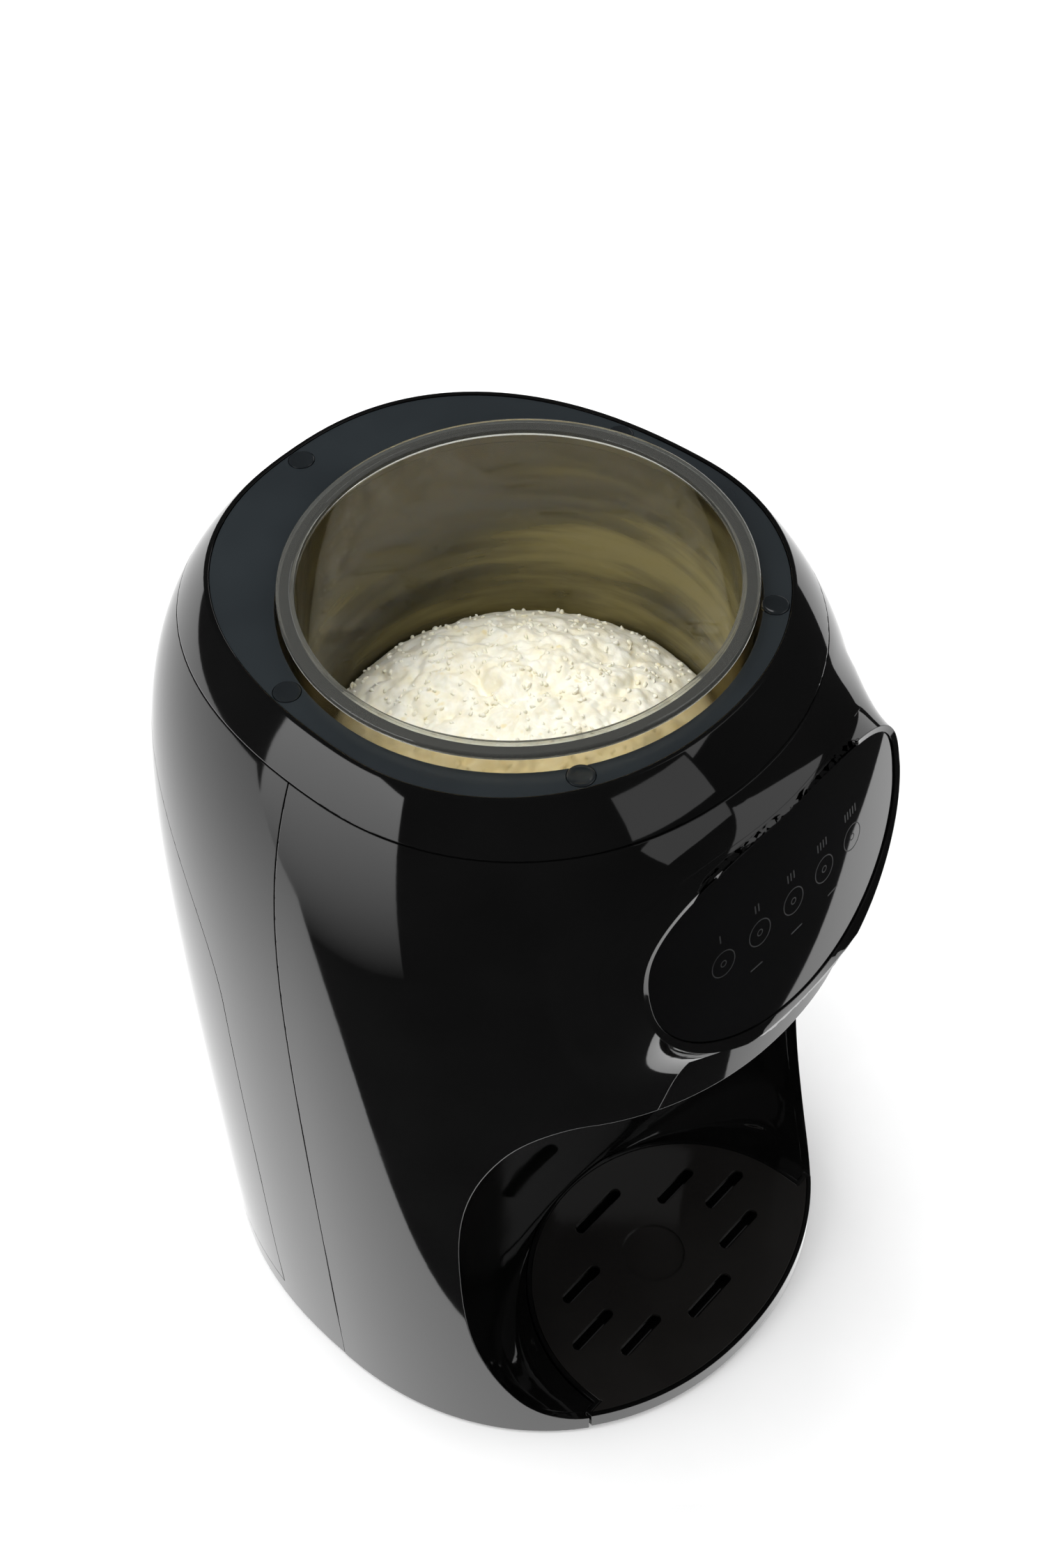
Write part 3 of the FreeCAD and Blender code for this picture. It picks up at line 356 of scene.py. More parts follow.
class Kit(Enum):
    """Every finish on the machine."""

    # High-gloss ABS, mirror-polished mould: near black, sharp reflections, faint orange peel.
    SHELL = Moulded("High-gloss black ABS", "moulded_black", "#060606", "#0A0A0A", (0.035, 0.06), 5.0,
                    0.004, 1.54, 0.35)
    # Same ABS behind the shells, unpolished.
    INNER = Moulded("Unpolished black ABS", "inner_black", "#0C0C0D", "#131314", (0.32, 0.42), 1.2, 0.03)
    # ABS from a fine spark-eroded mould: soft blue-black sheen with no sharp reflection.
    DECK = Moulded("Spark-eroded blue-black ABS", "deck_satin", "#1D2124", "#22272A", (0.27, 0.33), 0.8,
                   0.012, 1.5, 0.3)
    CAP = Moulded("Polished black screw cap", "moulded_black", "#15181A", "#1A1D1F", (0.10, 0.16), 3.0,
                  0.006, 1.5)
    GRILLE = Moulded("Polished black drip grille", "moulded_black", "#171615", "#1C1B1A", (0.07, 0.12),
                     6.0, 0.01,
                     1.52, 0.45)
    AMBER = AmberHopper("Amber clear copolyester", "smoky_clear", "#E6D6B0", "#857A4A", "#3B351A")
    RIM = Clear("Clear rim, polished", "rim_clear", "#C6C7C0", (0.04, 0.07), 0.93)
    TANK = Clear("Clear tank, moulded", "tank_clear", "#C9D2D6", (0.10, 0.18), 0.9)
    GLASS = Moulded("Black-backed touch glass", "touch_glass", "#030303", "#050506", (0.015, 0.03), 40.0,
                    0.001, 1.52,
                    0.25, 0.3)
    MARK = Moulded("Screen-printed grey ink", "touch_glass", "#101112", "#151617", (0.3, 0.4), 1.0, 0.002)
    POWDER = MilkPowder("Spray-dried milk powder", "milk_powder", "#FAF7E8", "#F1EAD0", "#EBD9A0")
    ACETAL = Moulded("White acetal, moulded", "white_acetal", "#D9D8D2", "#E4E3DE", (0.28, 0.38), 1.5,
                     0.02, 1.48)
    STEEL = Metal("Turned steel", "steel", "#8F9092", "#B4B5B7", (0.22, 0.4), 0.6)
    BRONZE = Metal("Sintered bronze", "bronze_bush", "#8A6437", "#B08850", (0.35, 0.5), 0.4)
    CAST = Metal("Die-cast aluminium", "cast_aluminium", "#8D8F92", "#A9ABAD", (0.38, 0.55), 1.6)
    SILICONE = Moulded("Clear-white silicone hose", "silicone", "#C9CAC6", "#D8D9D5", (0.42, 0.52), 1.0,
                       0.02, 1.41)
    RUBBER = Moulded("Moulded rubber foot", "foot_rubber", "#121212", "#1B1B1B", (0.75, 0.9), 0.9, 0.06,
                     1.52)
    BOARD = CircuitBoard("Solder-masked circuit board", "board", "#0F4A2C", "#2E7A4A")

    def put(self, obj: bpy.types.Object) -> None:
        """Dress an object in this finish."""
        made = self.value.material()
        if not obj.material_slots:
            obj.data.materials.append(made)
        for place in obj.material_slots:
            place.material = made


@dataclass(frozen=True)
class BodyForm:
    """Outer form of the body: a superellipse in plan whose reach changes with height."""

    half_width: float = 104.0
    half_depth: float = 116.6
    front_reach: float = 110.8
    lean: float = 4.0
    sag: float = 5.9
    shoulders: tuple[float, float, float] = (20.0, 25.0, 24.3)
    powers: tuple[float, float, float] = (10.0, 12.0, 11.0)
    rounds: tuple[float, float] = (2.1, 2.33)
    centre_y: float = -2.5
    drift: float = 9.0

    def level(self, points: np.ndarray) -> tuple[np.ndarray, np.ndarray]:
        """Return each point's share of the deck's height, and the outline's centre there."""
        s = np.clip(points[:, 2], 0.0, None) / DECK_Z
        return s, self.centre_y - self.drift * s ** 3

    def excess(self, points: np.ndarray) -> np.ndarray:
        """Distance of points, in millimetres, outside the outline at their height, along the radius."""
        s, centre = self.level(points)
        drop = self.sag * s ** 4
        half = self.half_width - self.shoulders[0] * s ** self.powers[0] - drop
        front = self.front_reach + self.lean * s - self.shoulders[1] * s ** self.powers[1] - drop + centre
        back = self.half_depth - self.shoulders[2] * s ** self.powers[2] - drop - centre
        u, v = points[:, 0], points[:, 1] - centre
        r = np.hypot(u, v) + TINY
        depth = np.where(v > 0, back, front)
        n = np.where(v > 0, self.rounds[1], self.rounds[0])
        outline = ((np.abs(u) / r / half) ** n + (np.abs(v) / r / depth) ** n) ** (-1.0 / n)
        return r - outline

    def pull(self, points: np.ndarray) -> np.ndarray:
        """Move points along the radius onto the surface."""
        s, centre = self.level(points)
        middle = np.stack([0 * s, centre, points[:, 2]], axis=1)
        arm = points - middle
        length = np.linalg.norm(arm, axis=1, keepdims=True) + TINY
        return points - arm / length * self.excess(points)[:, None]


@dataclass(frozen=True)
class Barrel:
    """Upright cylinder on the hopper's axis."""

    radius: float

    def excess(self, points: np.ndarray) -> np.ndarray:
        """Distance of points, in millimetres, outside the cylinder."""
        return np.hypot(points[:, 0], points[:, 1] - HOPPER_Y) - self.radius

    def pull(self, points: np.ndarray) -> np.ndarray:
        """Move points along the radius onto the cylinder."""
        arm = points - np.array([0.0, HOPPER_Y, 0.0])
        flat = np.hypot(arm[:, 0], arm[:, 1]) + TINY
        moved = points.copy()
        moved[:, 0] *= self.radius / flat
        moved[:, 1] = HOPPER_Y + arm[:, 1] * self.radius / flat
        return moved


@dataclass(frozen=True)
class PanelPlace:
    """Local axes of the touch panel: u to the right, v up the glass, depth back from it."""

    centre_z: float = 272.0
    tilt: float = math.radians(10.0)
    half: float = 56.5
    up: float = 27.4
    down: float = 43.0
    bend: float = 300.0
    lip: float = 0.5
    half_depth: float = 116.6

    def axes(self) -> tuple[np.ndarray, np.ndarray, np.ndarray]:
        """Return the centre, the outward direction and the upward direction."""
        centre = np.array([0.0, -self.half_depth + self.down * math.sin(self.tilt) + self.lip, self.centre_z])
        face = np.array([0.0, -math.cos(self.tilt), math.sin(self.tilt)])
        rise = np.array([0.0, math.sin(self.tilt), math.cos(self.tilt)])
        return centre, face, rise

    def local(self, points: np.ndarray) -> np.ndarray:
        """Turn points into u, v and depth."""
        centre, face, rise = self.axes()
        arm = points - centre
        return np.stack([arm[:, 0], arm @ rise, -(arm @ face)], axis=1)

    def world(self, local: np.ndarray) -> np.ndarray:
        """Turn u, v and depth into points."""
        centre, face, rise = self.axes()
        right = np.array([1.0, 0.0, 0.0])
        return centre + local[:, :1] * right + local[:, 1:2] * rise - local[:, 2:] * face

    def sunk(self, u: float) -> float:
        """Depth of the bent glass at u."""
        return self.bend - math.sqrt(self.bend ** 2 - u * u)


@dataclass(frozen=True)
class HoodForm:
    """Flare that carries the panel: panel outlines that grow with depth behind the glass."""

    place: PanelPlace = PanelPlace()
    stations: tuple[tuple[float, float, float], ...] = (
        (-4, 1.02, 2.0), (4, 1.02, 2.0), (10, 1.03, 2.15), (17, 1.05, 2.5), (24, 1.075, 2.9), (31, 1.10, 3.2),
        (40, 1.13, 3.4))

    def along(self, depth: np.ndarray, column: int) -> np.ndarray:
        """Natural cubic spline through one column of the stations."""
        x = np.array([s[0] for s in self.stations], float)
        y = np.array([s[column] for s in self.stations], float)
        n, h = len(x), np.diff(x)
        a, b = np.eye(n), np.zeros(n)
        for i in range(1, n - 1):
            a[i, i - 1:i + 2] = h[i - 1], 2 * (h[i - 1] + h[i]), h[i]
            b[i] = 6 * ((y[i + 1] - y[i]) / h[i] - (y[i] - y[i - 1]) / h[i - 1])
        m = np.linalg.solve(a, b)
        d = np.clip(depth, x[0], x[-1])
        i = np.clip(np.searchsorted(x, d) - 1, 0, n - 2)
        p, q = x[i + 1] - d, d - x[i]
        return (m[i] * p ** 3 + m[i + 1] * q ** 3) / (6 * h[i]) + (y[i] / h[i] - m[i] * h[i] / 6) * p \
            + (y[i + 1] / h[i] - m[i + 1] * h[i] / 6) * q

    def excess(self, points: np.ndarray) -> np.ndarray:
        """Distance of points, in millimetres, outside the flare, along the radius."""
        local = self.place.local(points)
        u, v = local[:, 0], local[:, 1]
        r = np.hypot(u, v) + TINY
        scale = self.along(local[:, 2], 1)
        n = np.where(v > 0, 3.0, self.along(local[:, 2], 2))
        depth = np.where(v > 0, self.place.up, self.place.down) * scale
        wide = self.place.half * scale
        return r - ((np.abs(u) / r / wide) ** n + (np.abs(v) / r / depth) ** n) ** (-1.0 / n)

    def pull(self, points: np.ndarray) -> np.ndarray:
        """Move points along the radius onto the flare."""
        local = self.place.local(points)
        r = np.hypot(local[:, 0], local[:, 1]) + TINY
        local[:, :2] *= (1 - self.excess(points) / r)[:, None]
        return self.place.world(local)


@dataclass(frozen=True)
class GlassForm:
    """Front of the bent touch glass, or the lip round it, one radius out."""

    place: PanelPlace = PanelPlace()
    proud: float = 0.0

    def excess(self, points: np.ndarray) -> np.ndarray:
        """Distance of points, in millimetres, in front of the glass."""
        local = self.place.local(points)
        return np.hypot(local[:, 0], self.place.bend - local[:, 2]) - self.place.bend - self.proud

    def pull(self, points: np.ndarray) -> np.ndarray:
        """Leave points where they are, because the tessellation is already on the cylinder."""
        return points


@dataclass(frozen=True)
class HeadFillet:
    """Body and hood run together with a hollow fillet where they meet.

    The hood's share fades out deeper than deep, and no point moves further than most.
    """

    body: BodyForm = BodyForm()
    hood: HoodForm = HoodForm()
    width: float = 20.0
    deep: float = 24.0
    fade: float = 0.25
    most: float = 5.5
    passes: int = 6

    def excess(self, points: np.ndarray) -> np.ndarray:
        """Distance of points, in millimetres, outside the filleted head."""
        a, b = self.body.excess(points), self.hood.excess(points)
        b = b + self.fade * np.clip(self.hood.place.local(points)[:, 2] - self.deep, 0.0, None) ** 2
        mix = np.clip(0.5 + 0.5 * (b - a) / self.width, 0.0, 1.0)
        return b + (a - b) * mix - self.width * mix * (1.0 - mix)

    def pull(self, points: np.ndarray) -> np.ndarray:
        """Walk points along the slope onto the filleted head, no further forward than the foremost was."""
        moved = points.copy()
        for _ in range(self.passes):
            slope = steepest(self, moved)
            moved -= slope * (self.excess(moved) / (np.sum(slope * slope, axis=1) + TINY))[:, None]
        way = moved - points
        far = np.linalg.norm(way, axis=1, keepdims=True) + TINY
        moved = points + way * np.minimum(1.0, self.most / far)
        moved[:, 1] = np.maximum(moved[:, 1], points[:, 1].min())
        return moved


Form = BodyForm | Barrel | HoodForm | GlassForm | HeadFillet


def steepest(form: Form, points: np.ndarray) -> np.ndarray:
    """Gradient of a form's excess.

    Args:
        form: Surface to test against.
        points: Points in millimetres, one a row.

    Returns:
        One gradient a row, not normalised.
    """
    step = 0.05
    columns = []
    for axis in range(3):
        shift = np.zeros(3)
        shift[axis] = step
        columns.append((form.excess(points + shift) - form.excess(points - shift)) / (2 * step))
    return np.stack(columns, axis=1)


def on_form(form: Form, points: np.ndarray, normals: np.ndarray, near: float = 0.45,
            least: float = 0.90) -> np.ndarray:
    """Tell which points lie on a form and face the way it does.

    Args:
        form: Surface to test against.
        points: Points in millimetres.
        normals: Face normals at them.
        near: Largest distance from the surface, in millimetres.
        least: Smallest cosine between the face and the form.

    Returns:
        A sign a row: 1 facing out, -1 facing in, 0 not on the form.
    """
    slope = steepest(form, points)
    length = np.linalg.norm(slope, axis=1) + TINY
    close = np.abs(form.excess(points)) / length < near
    facing = np.sum(slope * normals, axis=1) / length
    return np.where(close & (np.abs(facing) > least), np.sign(facing), 0.0)


def polish(node: str, name: str, forms: list[Form], longest: float = 7.0, rounds: int = 3,
           fillet: HeadFillet | None = None) -> bpy.types.Object:
    """Copy a CAD node, refine it on its true surfaces, and give it their exact normals.

    Args:
        node: CAD node that the copy stands for.
        name: Name of the new piece.
        forms: Surfaces that the node's skin follows.
        longest: Edges on those surfaces above this many millimetres are divided.
        rounds: How often they may be divided.
        fillet: Surface that the refined skin is drawn onto at the end.

    Returns:
        The new object, smooth shaded.
    """
    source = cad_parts[node]
    mesh = source.data.copy()
    mesh.name = name
    if "custom_normal" in mesh.attributes:
        mesh.attributes.remove(mesh.attributes["custom_normal"])
    work = bmesh.new()
    work.from_mesh(mesh)
    bmesh.ops.remove_doubles(work, verts=work.verts, dist=WELD_MM * MM)
    bmesh.ops.dissolve_degenerate(work, dist=0.001 * MM, edges=work.edges)
    for _ in range(rounds if forms else 0):
        work.faces.ensure_lookup_table()
        work.normal_update()
        owner = face_forms(work, forms)
        long_edges = [e for e in work.edges if e.calc_length() > longest * MM
                      and any(owner[f.index] >= 0 for f in e.link_faces)]
        if not long_edges:
            break
        cut = bmesh.ops.subdivide_edges(work, edges=long_edges, cuts=1, use_grid_fill=False)
        fresh = [g for g in cut["geom_inner"] if isinstance(g, bmesh.types.BMVert)]
        bmesh.ops.triangulate(work, faces=work.faces)
        work.faces.ensure_lookup_table()
        work.normal_update()
        settle(work, fresh, forms)
    owner = face_forms(work, forms) if fillet else None
    if fillet:
        skin = sorted({v.index for f in work.faces if owner[f.index] >= 0 for v in f.verts})
        work.verts.ensure_lookup_table()
        moved = fillet.pull(np.array([work.verts[i].co for i in skin]) / MM) * MM
        for index, place in zip(skin, moved):
            work.verts[index].co = Vector(place)
    work.normal_update()
    work.to_mesh(mesh)
    work.free()
    mesh.materials.clear()
    mesh.shade_smooth()
    mesh.set_sharp_from_angle(angle=CREASE)
    set_normals(mesh, [fillet] if fillet else forms, owner)
    return linked(name, mesh)


def face_forms(work: bmesh.types.BMesh, forms: list[Form]) -> np.ndarray:
    """Return, for each face, the number of the form that it lies on, or -1."""
    centres = np.array([f.calc_center_median() for f in work.faces]) / MM
    normals = np.array([f.normal for f in work.faces])
    owner = np.full(len(centres), -1)
    for number, form in enumerate(forms):
        owner[(on_form(form, centres, normals) != 0) & (owner < 0)] = number
    return owner


def settle(work: bmesh.types.BMesh, fresh: list[bmesh.types.BMVert], forms: list[Form]) -> None:
    """Pull new vertices onto the form that all their faces share."""
    owner = face_forms(work, forms)
    work.verts.index_update()
    groups: dict[int, list[bmesh.types.BMVert]] = {}
    for vert in fresh:
        owners = {int(owner[f.index]) for f in vert.link_faces}
        if len(owners) == 1 and min(owners) >= 0:
            groups.setdefault(min(owners), []).append(vert)
    for number, verts in groups.items():
        moved = forms[number].pull(np.array([v.co for v in verts]) / MM) * MM
        for vert, place in zip(verts, moved):
            vert.co = Vector(place)


def column(items: bpy.types.bpy_prop_collection, key: str, width: int = 1, kind: type = float) -> np.ndarray:
    """Read one property of every item.

    Args:
        items: Vertices, loops or polygons.
        key: Name of the property.
        width: Numbers in it.
        kind: Their type.

    Returns:
        One value an item, or one row if there are several numbers.
    """
    flat = np.empty(len(items) * width, kind)
    items.foreach_get(key, flat)
    return flat.reshape(-1, width) if width > 1 else flat


def set_normals(mesh: bpy.types.Mesh, forms: list[Form], known: np.ndarray | None = None) -> None:
    """Set exact normals on faces that lie on a form, and leave the rest to their own.

    Args:
        mesh: Mesh that gets the normals.
        forms: Surfaces, of which each face takes the first that it lies on.
        known: Where given, 0 or more marks the faces that take the first form without a test.
    """
    if not forms:
        return
    centres, facing = column(mesh.polygons, "center", 3) / MM, column(mesh.polygons, "normal", 3)
    where = column(mesh.vertices, "co", 3)[column(mesh.loops, "vertex_index", kind=int)] / MM
    owner = np.repeat(np.arange(len(centres)), column(mesh.polygons, "loop_total", kind=int))
    result = np.zeros((len(where), 3))
    taken = np.zeros(len(centres), bool)
    for form in forms:
        sign = np.where(taken, 0.0, on_form(form, centres, facing) if known is None else known >= 0)
        taken |= sign != 0
        pick = sign[owner] != 0
        slope = steepest(form, where[pick])
        slope /= np.linalg.norm(slope, axis=1, keepdims=True) + 1e-12
        result[pick] = slope * sign[owner][pick][:, None]
    mesh.normals_split_custom_set(result)


def finish_piece(made: bpy.types.Object, kit: Kit, body: str, *nodes: str) -> bpy.types.Object:
    """Dress a new piece, ride it on its body, and let it stand for CAD nodes.

    Args:
        made: The piece.
        kit: Its finish.
        body: CAD body that it moves with.
        nodes: CAD nodes that it stands for.

    Returns:
        The piece.
    """
    kit.put(made)
    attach(made, body)
    if nodes:
        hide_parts(*nodes)
    LOG.info("%s: %d faces, %s", made.name, len(made.data.polygons), kit.value.name)
    return made


def new_piece(name: str, verts: list, faces: list) -> bpy.types.Object:
    """Link a new smooth mesh object.

    Args:
        name: Its name.
        verts: Corner points in metres.
        faces: Corner numbers of each face.

    Returns:
        The object.
    """
    mesh = bpy.data.meshes.new(name)
    mesh.from_pydata([tuple(v) for v in verts], [], faces)
    mesh.shade_smooth()
    return linked(name, mesh)


def turn_outward(mesh: bpy.types.Mesh, weld_mm: float = 0.0) -> None:
    """Face a closed mesh outward and mark its sharp edges.

    Args:
        mesh: Mesh to mend.
        weld_mm: Points nearer than this are merged first, if it isn't zero.
    """
    work = bmesh.new()
    work.from_mesh(mesh)
    if weld_mm:
        bmesh.ops.remove_doubles(work, verts=work.verts, dist=weld_mm * MM)
    bmesh.ops.recalc_face_normals(work, faces=work.faces)
    work.to_mesh(mesh)
    work.free()
    mesh.set_sharp_from_angle(angle=SHARP)


def lathe(profile: list[tuple[float, float]], centre: tuple[float, float], steps: int) -> tuple[list, list]:
    """Turn a closed or axis-to-axis profile round an upright axis.

    Args:
        profile: Radius and height of each point in millimetres, in order. Points on the axis become poles.
        centre: Place of the axis.
        steps: Faces round the axis.

    Returns:
        Vertices in metres, and faces.
    """
    verts, rings = [], []
    for r, z in profile:
        if r < 1e-6:
            rings.append([len(verts)])
            verts.append((centre[0] * MM, centre[1] * MM, z * MM))
            continue
        rings.append(list(range(len(verts), len(verts) + steps)))
        for i in range(steps):
            a = 2 * math.pi * i / steps
            verts.append(((centre[0] + r * math.cos(a)) * MM, (centre[1] + r * math.sin(a)) * MM, z * MM))
    faces = []
    for low, high in zip(rings, rings[1:]):
        for i in range(steps):
            j = (i + 1) % steps
            if len(low) == 1:
                faces.append((low[0], high[j], high[i]))
            elif len(high) == 1:
                faces.append((low[i], low[j], high[0]))
            else:
                faces.append((low[i], low[j], high[j], high[i]))
    return verts, faces


def evaluated(obj: bpy.types.Object, name: str) -> bpy.types.Object:
    """Bake an object's Geometry Nodes into a new plain object, and remove the old one."""
    graph = bpy.context.evaluated_depsgraph_get()
    mesh = bpy.data.meshes.new_from_object(obj.evaluated_get(graph))
    bpy.data.objects.remove(obj)
    return linked(name, mesh)


@dataclass
class GeometryTree:
    """A Geometry Nodes tree with named inputs, added to an object as a modifier."""

    name: str
    tree: bpy.types.NodeTree = field(init=False)
    start: bpy.types.Node = field(init=False)

    def __post_init__(self) -> None:
        """Make the empty tree with a geometry input and output."""
        self.tree = bpy.data.node_groups.new(self.name, "GeometryNodeTree")
        self.tree.interface.new_socket("Geometry", in_out="INPUT", socket_type="NodeSocketGeometry")
        self.tree.interface.new_socket("Geometry", in_out="OUTPUT", socket_type="NodeSocketGeometry")
        self.start = add_node(self.tree, "NodeGroupInput")

    def entry(self, name: str, kind: str) -> bpy.types.NodeSocket:
        """Add a named input and return its socket inside the tree."""
        self.tree.interface.new_socket(name, in_out="INPUT", socket_type=kind)
        return self.start.outputs[name]

    def end(self, geometry: bpy.types.NodeSocket, kit: Kit) -> None:
        """Close the tree with Realize Instances and Set Material."""
        real = add_node(self.tree, "GeometryNodeRealizeInstances", {0: geometry})
        dressed = add_node(self.tree, "GeometryNodeSetMaterial", {"Geometry": real.outputs[0]})
        dressed.inputs["Material"].default_value = kit.value.material()
        add_node(self.tree, "NodeGroupOutput", {0: dressed.outputs[0]})

    def run(self, obj: bpy.types.Object, values: dict[str, object], name: str) -> bpy.types.Object:
        """Put the tree on an object, set its inputs, and return the result as a plain object."""
        modifier = obj.modifiers.new(self.name, "NODES")
        modifier.node_group = self.tree
        for item in self.tree.interface.items_tree:
            if item.item_type == "SOCKET" and item.name in values:
                modifier[item.identifier] = values[item.name]
        return evaluated(obj, name)


@dataclass
class Body:
    """Shells, collar, hood, bay and base."""

    form: BodyForm = BodyForm()
    hood: HoodForm = HoodForm()
    fillet: HeadFillet = HeadFillet()

    def build(self) -> None:
        """Polish the outer skins and dress the rest."""
        for node, body, forms, longest, fillet in (
                ("front_shell", "housing", [self.form], 4.5, self.fillet),
                ("rear_shell", "housing", [self.form], 7.0, None),
                ("top_collar", "housing", [self.form], 7.0, None),
                ("funnel_cover", "funnel_unit", [self.form], 7.0, None),
                ("rear_cover", "tank", [self.form], 7.0, None),
                ("panel_hood", "housing", [self.hood], 3.0, self.fillet),
                ("bay_liner", "housing", [], 7.0, None)):
            made = polish(node, node + "_gloss", forms, longest, 4, fillet)
            finish_piece(made, Kit.SHELL, body, node)


@dataclass
class Deck:
    """Deck plate and the screw caps in it."""

    cap_r: float = 3.9
    cap_h: float = 1.4
    dish: float = 0.35
    steps: int = 48

    def build(self) -> None:
        """Smooth the plate and set a turned cap on each seat."""
        finish_piece(polish("deck_plate", "deck_plate_satin", []), Kit.DECK, "housing", "deck_plate")
        finish_piece(self.caps(), Kit.CAP, "housing", "screw_caps")

    def seats(self) -> list[tuple[float, float]]:
        """Centres of the caps, from the CAD node's loose parts."""
        left = column(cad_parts["screw_caps"].data.vertices, "co", 3)[:, :2]
        centres = []
        while len(left):
            near = np.hypot(*(left - left[0]).T) < 3 * self.cap_r * MM
            centres.append(tuple((left[near].min(axis=0) + left[near].max(axis=0)) / 2))
            left = left[~near]
        return sorted(centres)

    def caps(self) -> bpy.types.Object:
        """Turn one cap and place a copy on each seat."""
        r = self.cap_r
        profile = [(0.0, -self.cap_h), (r - 0.2, -self.cap_h), (r, -self.cap_h + 0.2), (r, -0.25),
                   (r - 0.08, -0.08), (r - 0.25, 0.0), (r - 0.7, 0.0), (r - 1.0, -0.12),
                   (r * 0.45, -self.dish), (0.0, -self.dish)]
        verts, faces = lathe(profile, (0.0, 0.0), self.steps)
        one = new_piece("cap_pattern", verts, faces)
        one.data.set_sharp_from_angle(angle=math.radians(40))
        spots = new_piece("cap_seats", [(x, y, DECK_Z * MM) for x, y in self.seats()], [])
        maker = GeometryTree("Screw caps on seats")
        shape = maker.entry("Cap", "NodeSocketObject")
        size = maker.entry("Cap Size", "NodeSocketFloat")
        info = add_node(maker.tree, "GeometryNodeObjectInfo", {"Object": shape})
        points = add_node(maker.tree, "GeometryNodeMeshToPoints", {"Mesh": maker.start.outputs[0]})
        placed = add_node(maker.tree, "GeometryNodeInstanceOnPoints", {
            "Points": points.outputs[0], "Instance": info.outputs["Geometry"], "Scale": size})
        maker.end(placed.outputs[0], Kit.CAP)
        made = maker.run(spots, {"Cap": one, "Cap Size": 1.0}, "deck_screw_caps")
        bpy.data.objects.remove(one)
        return made


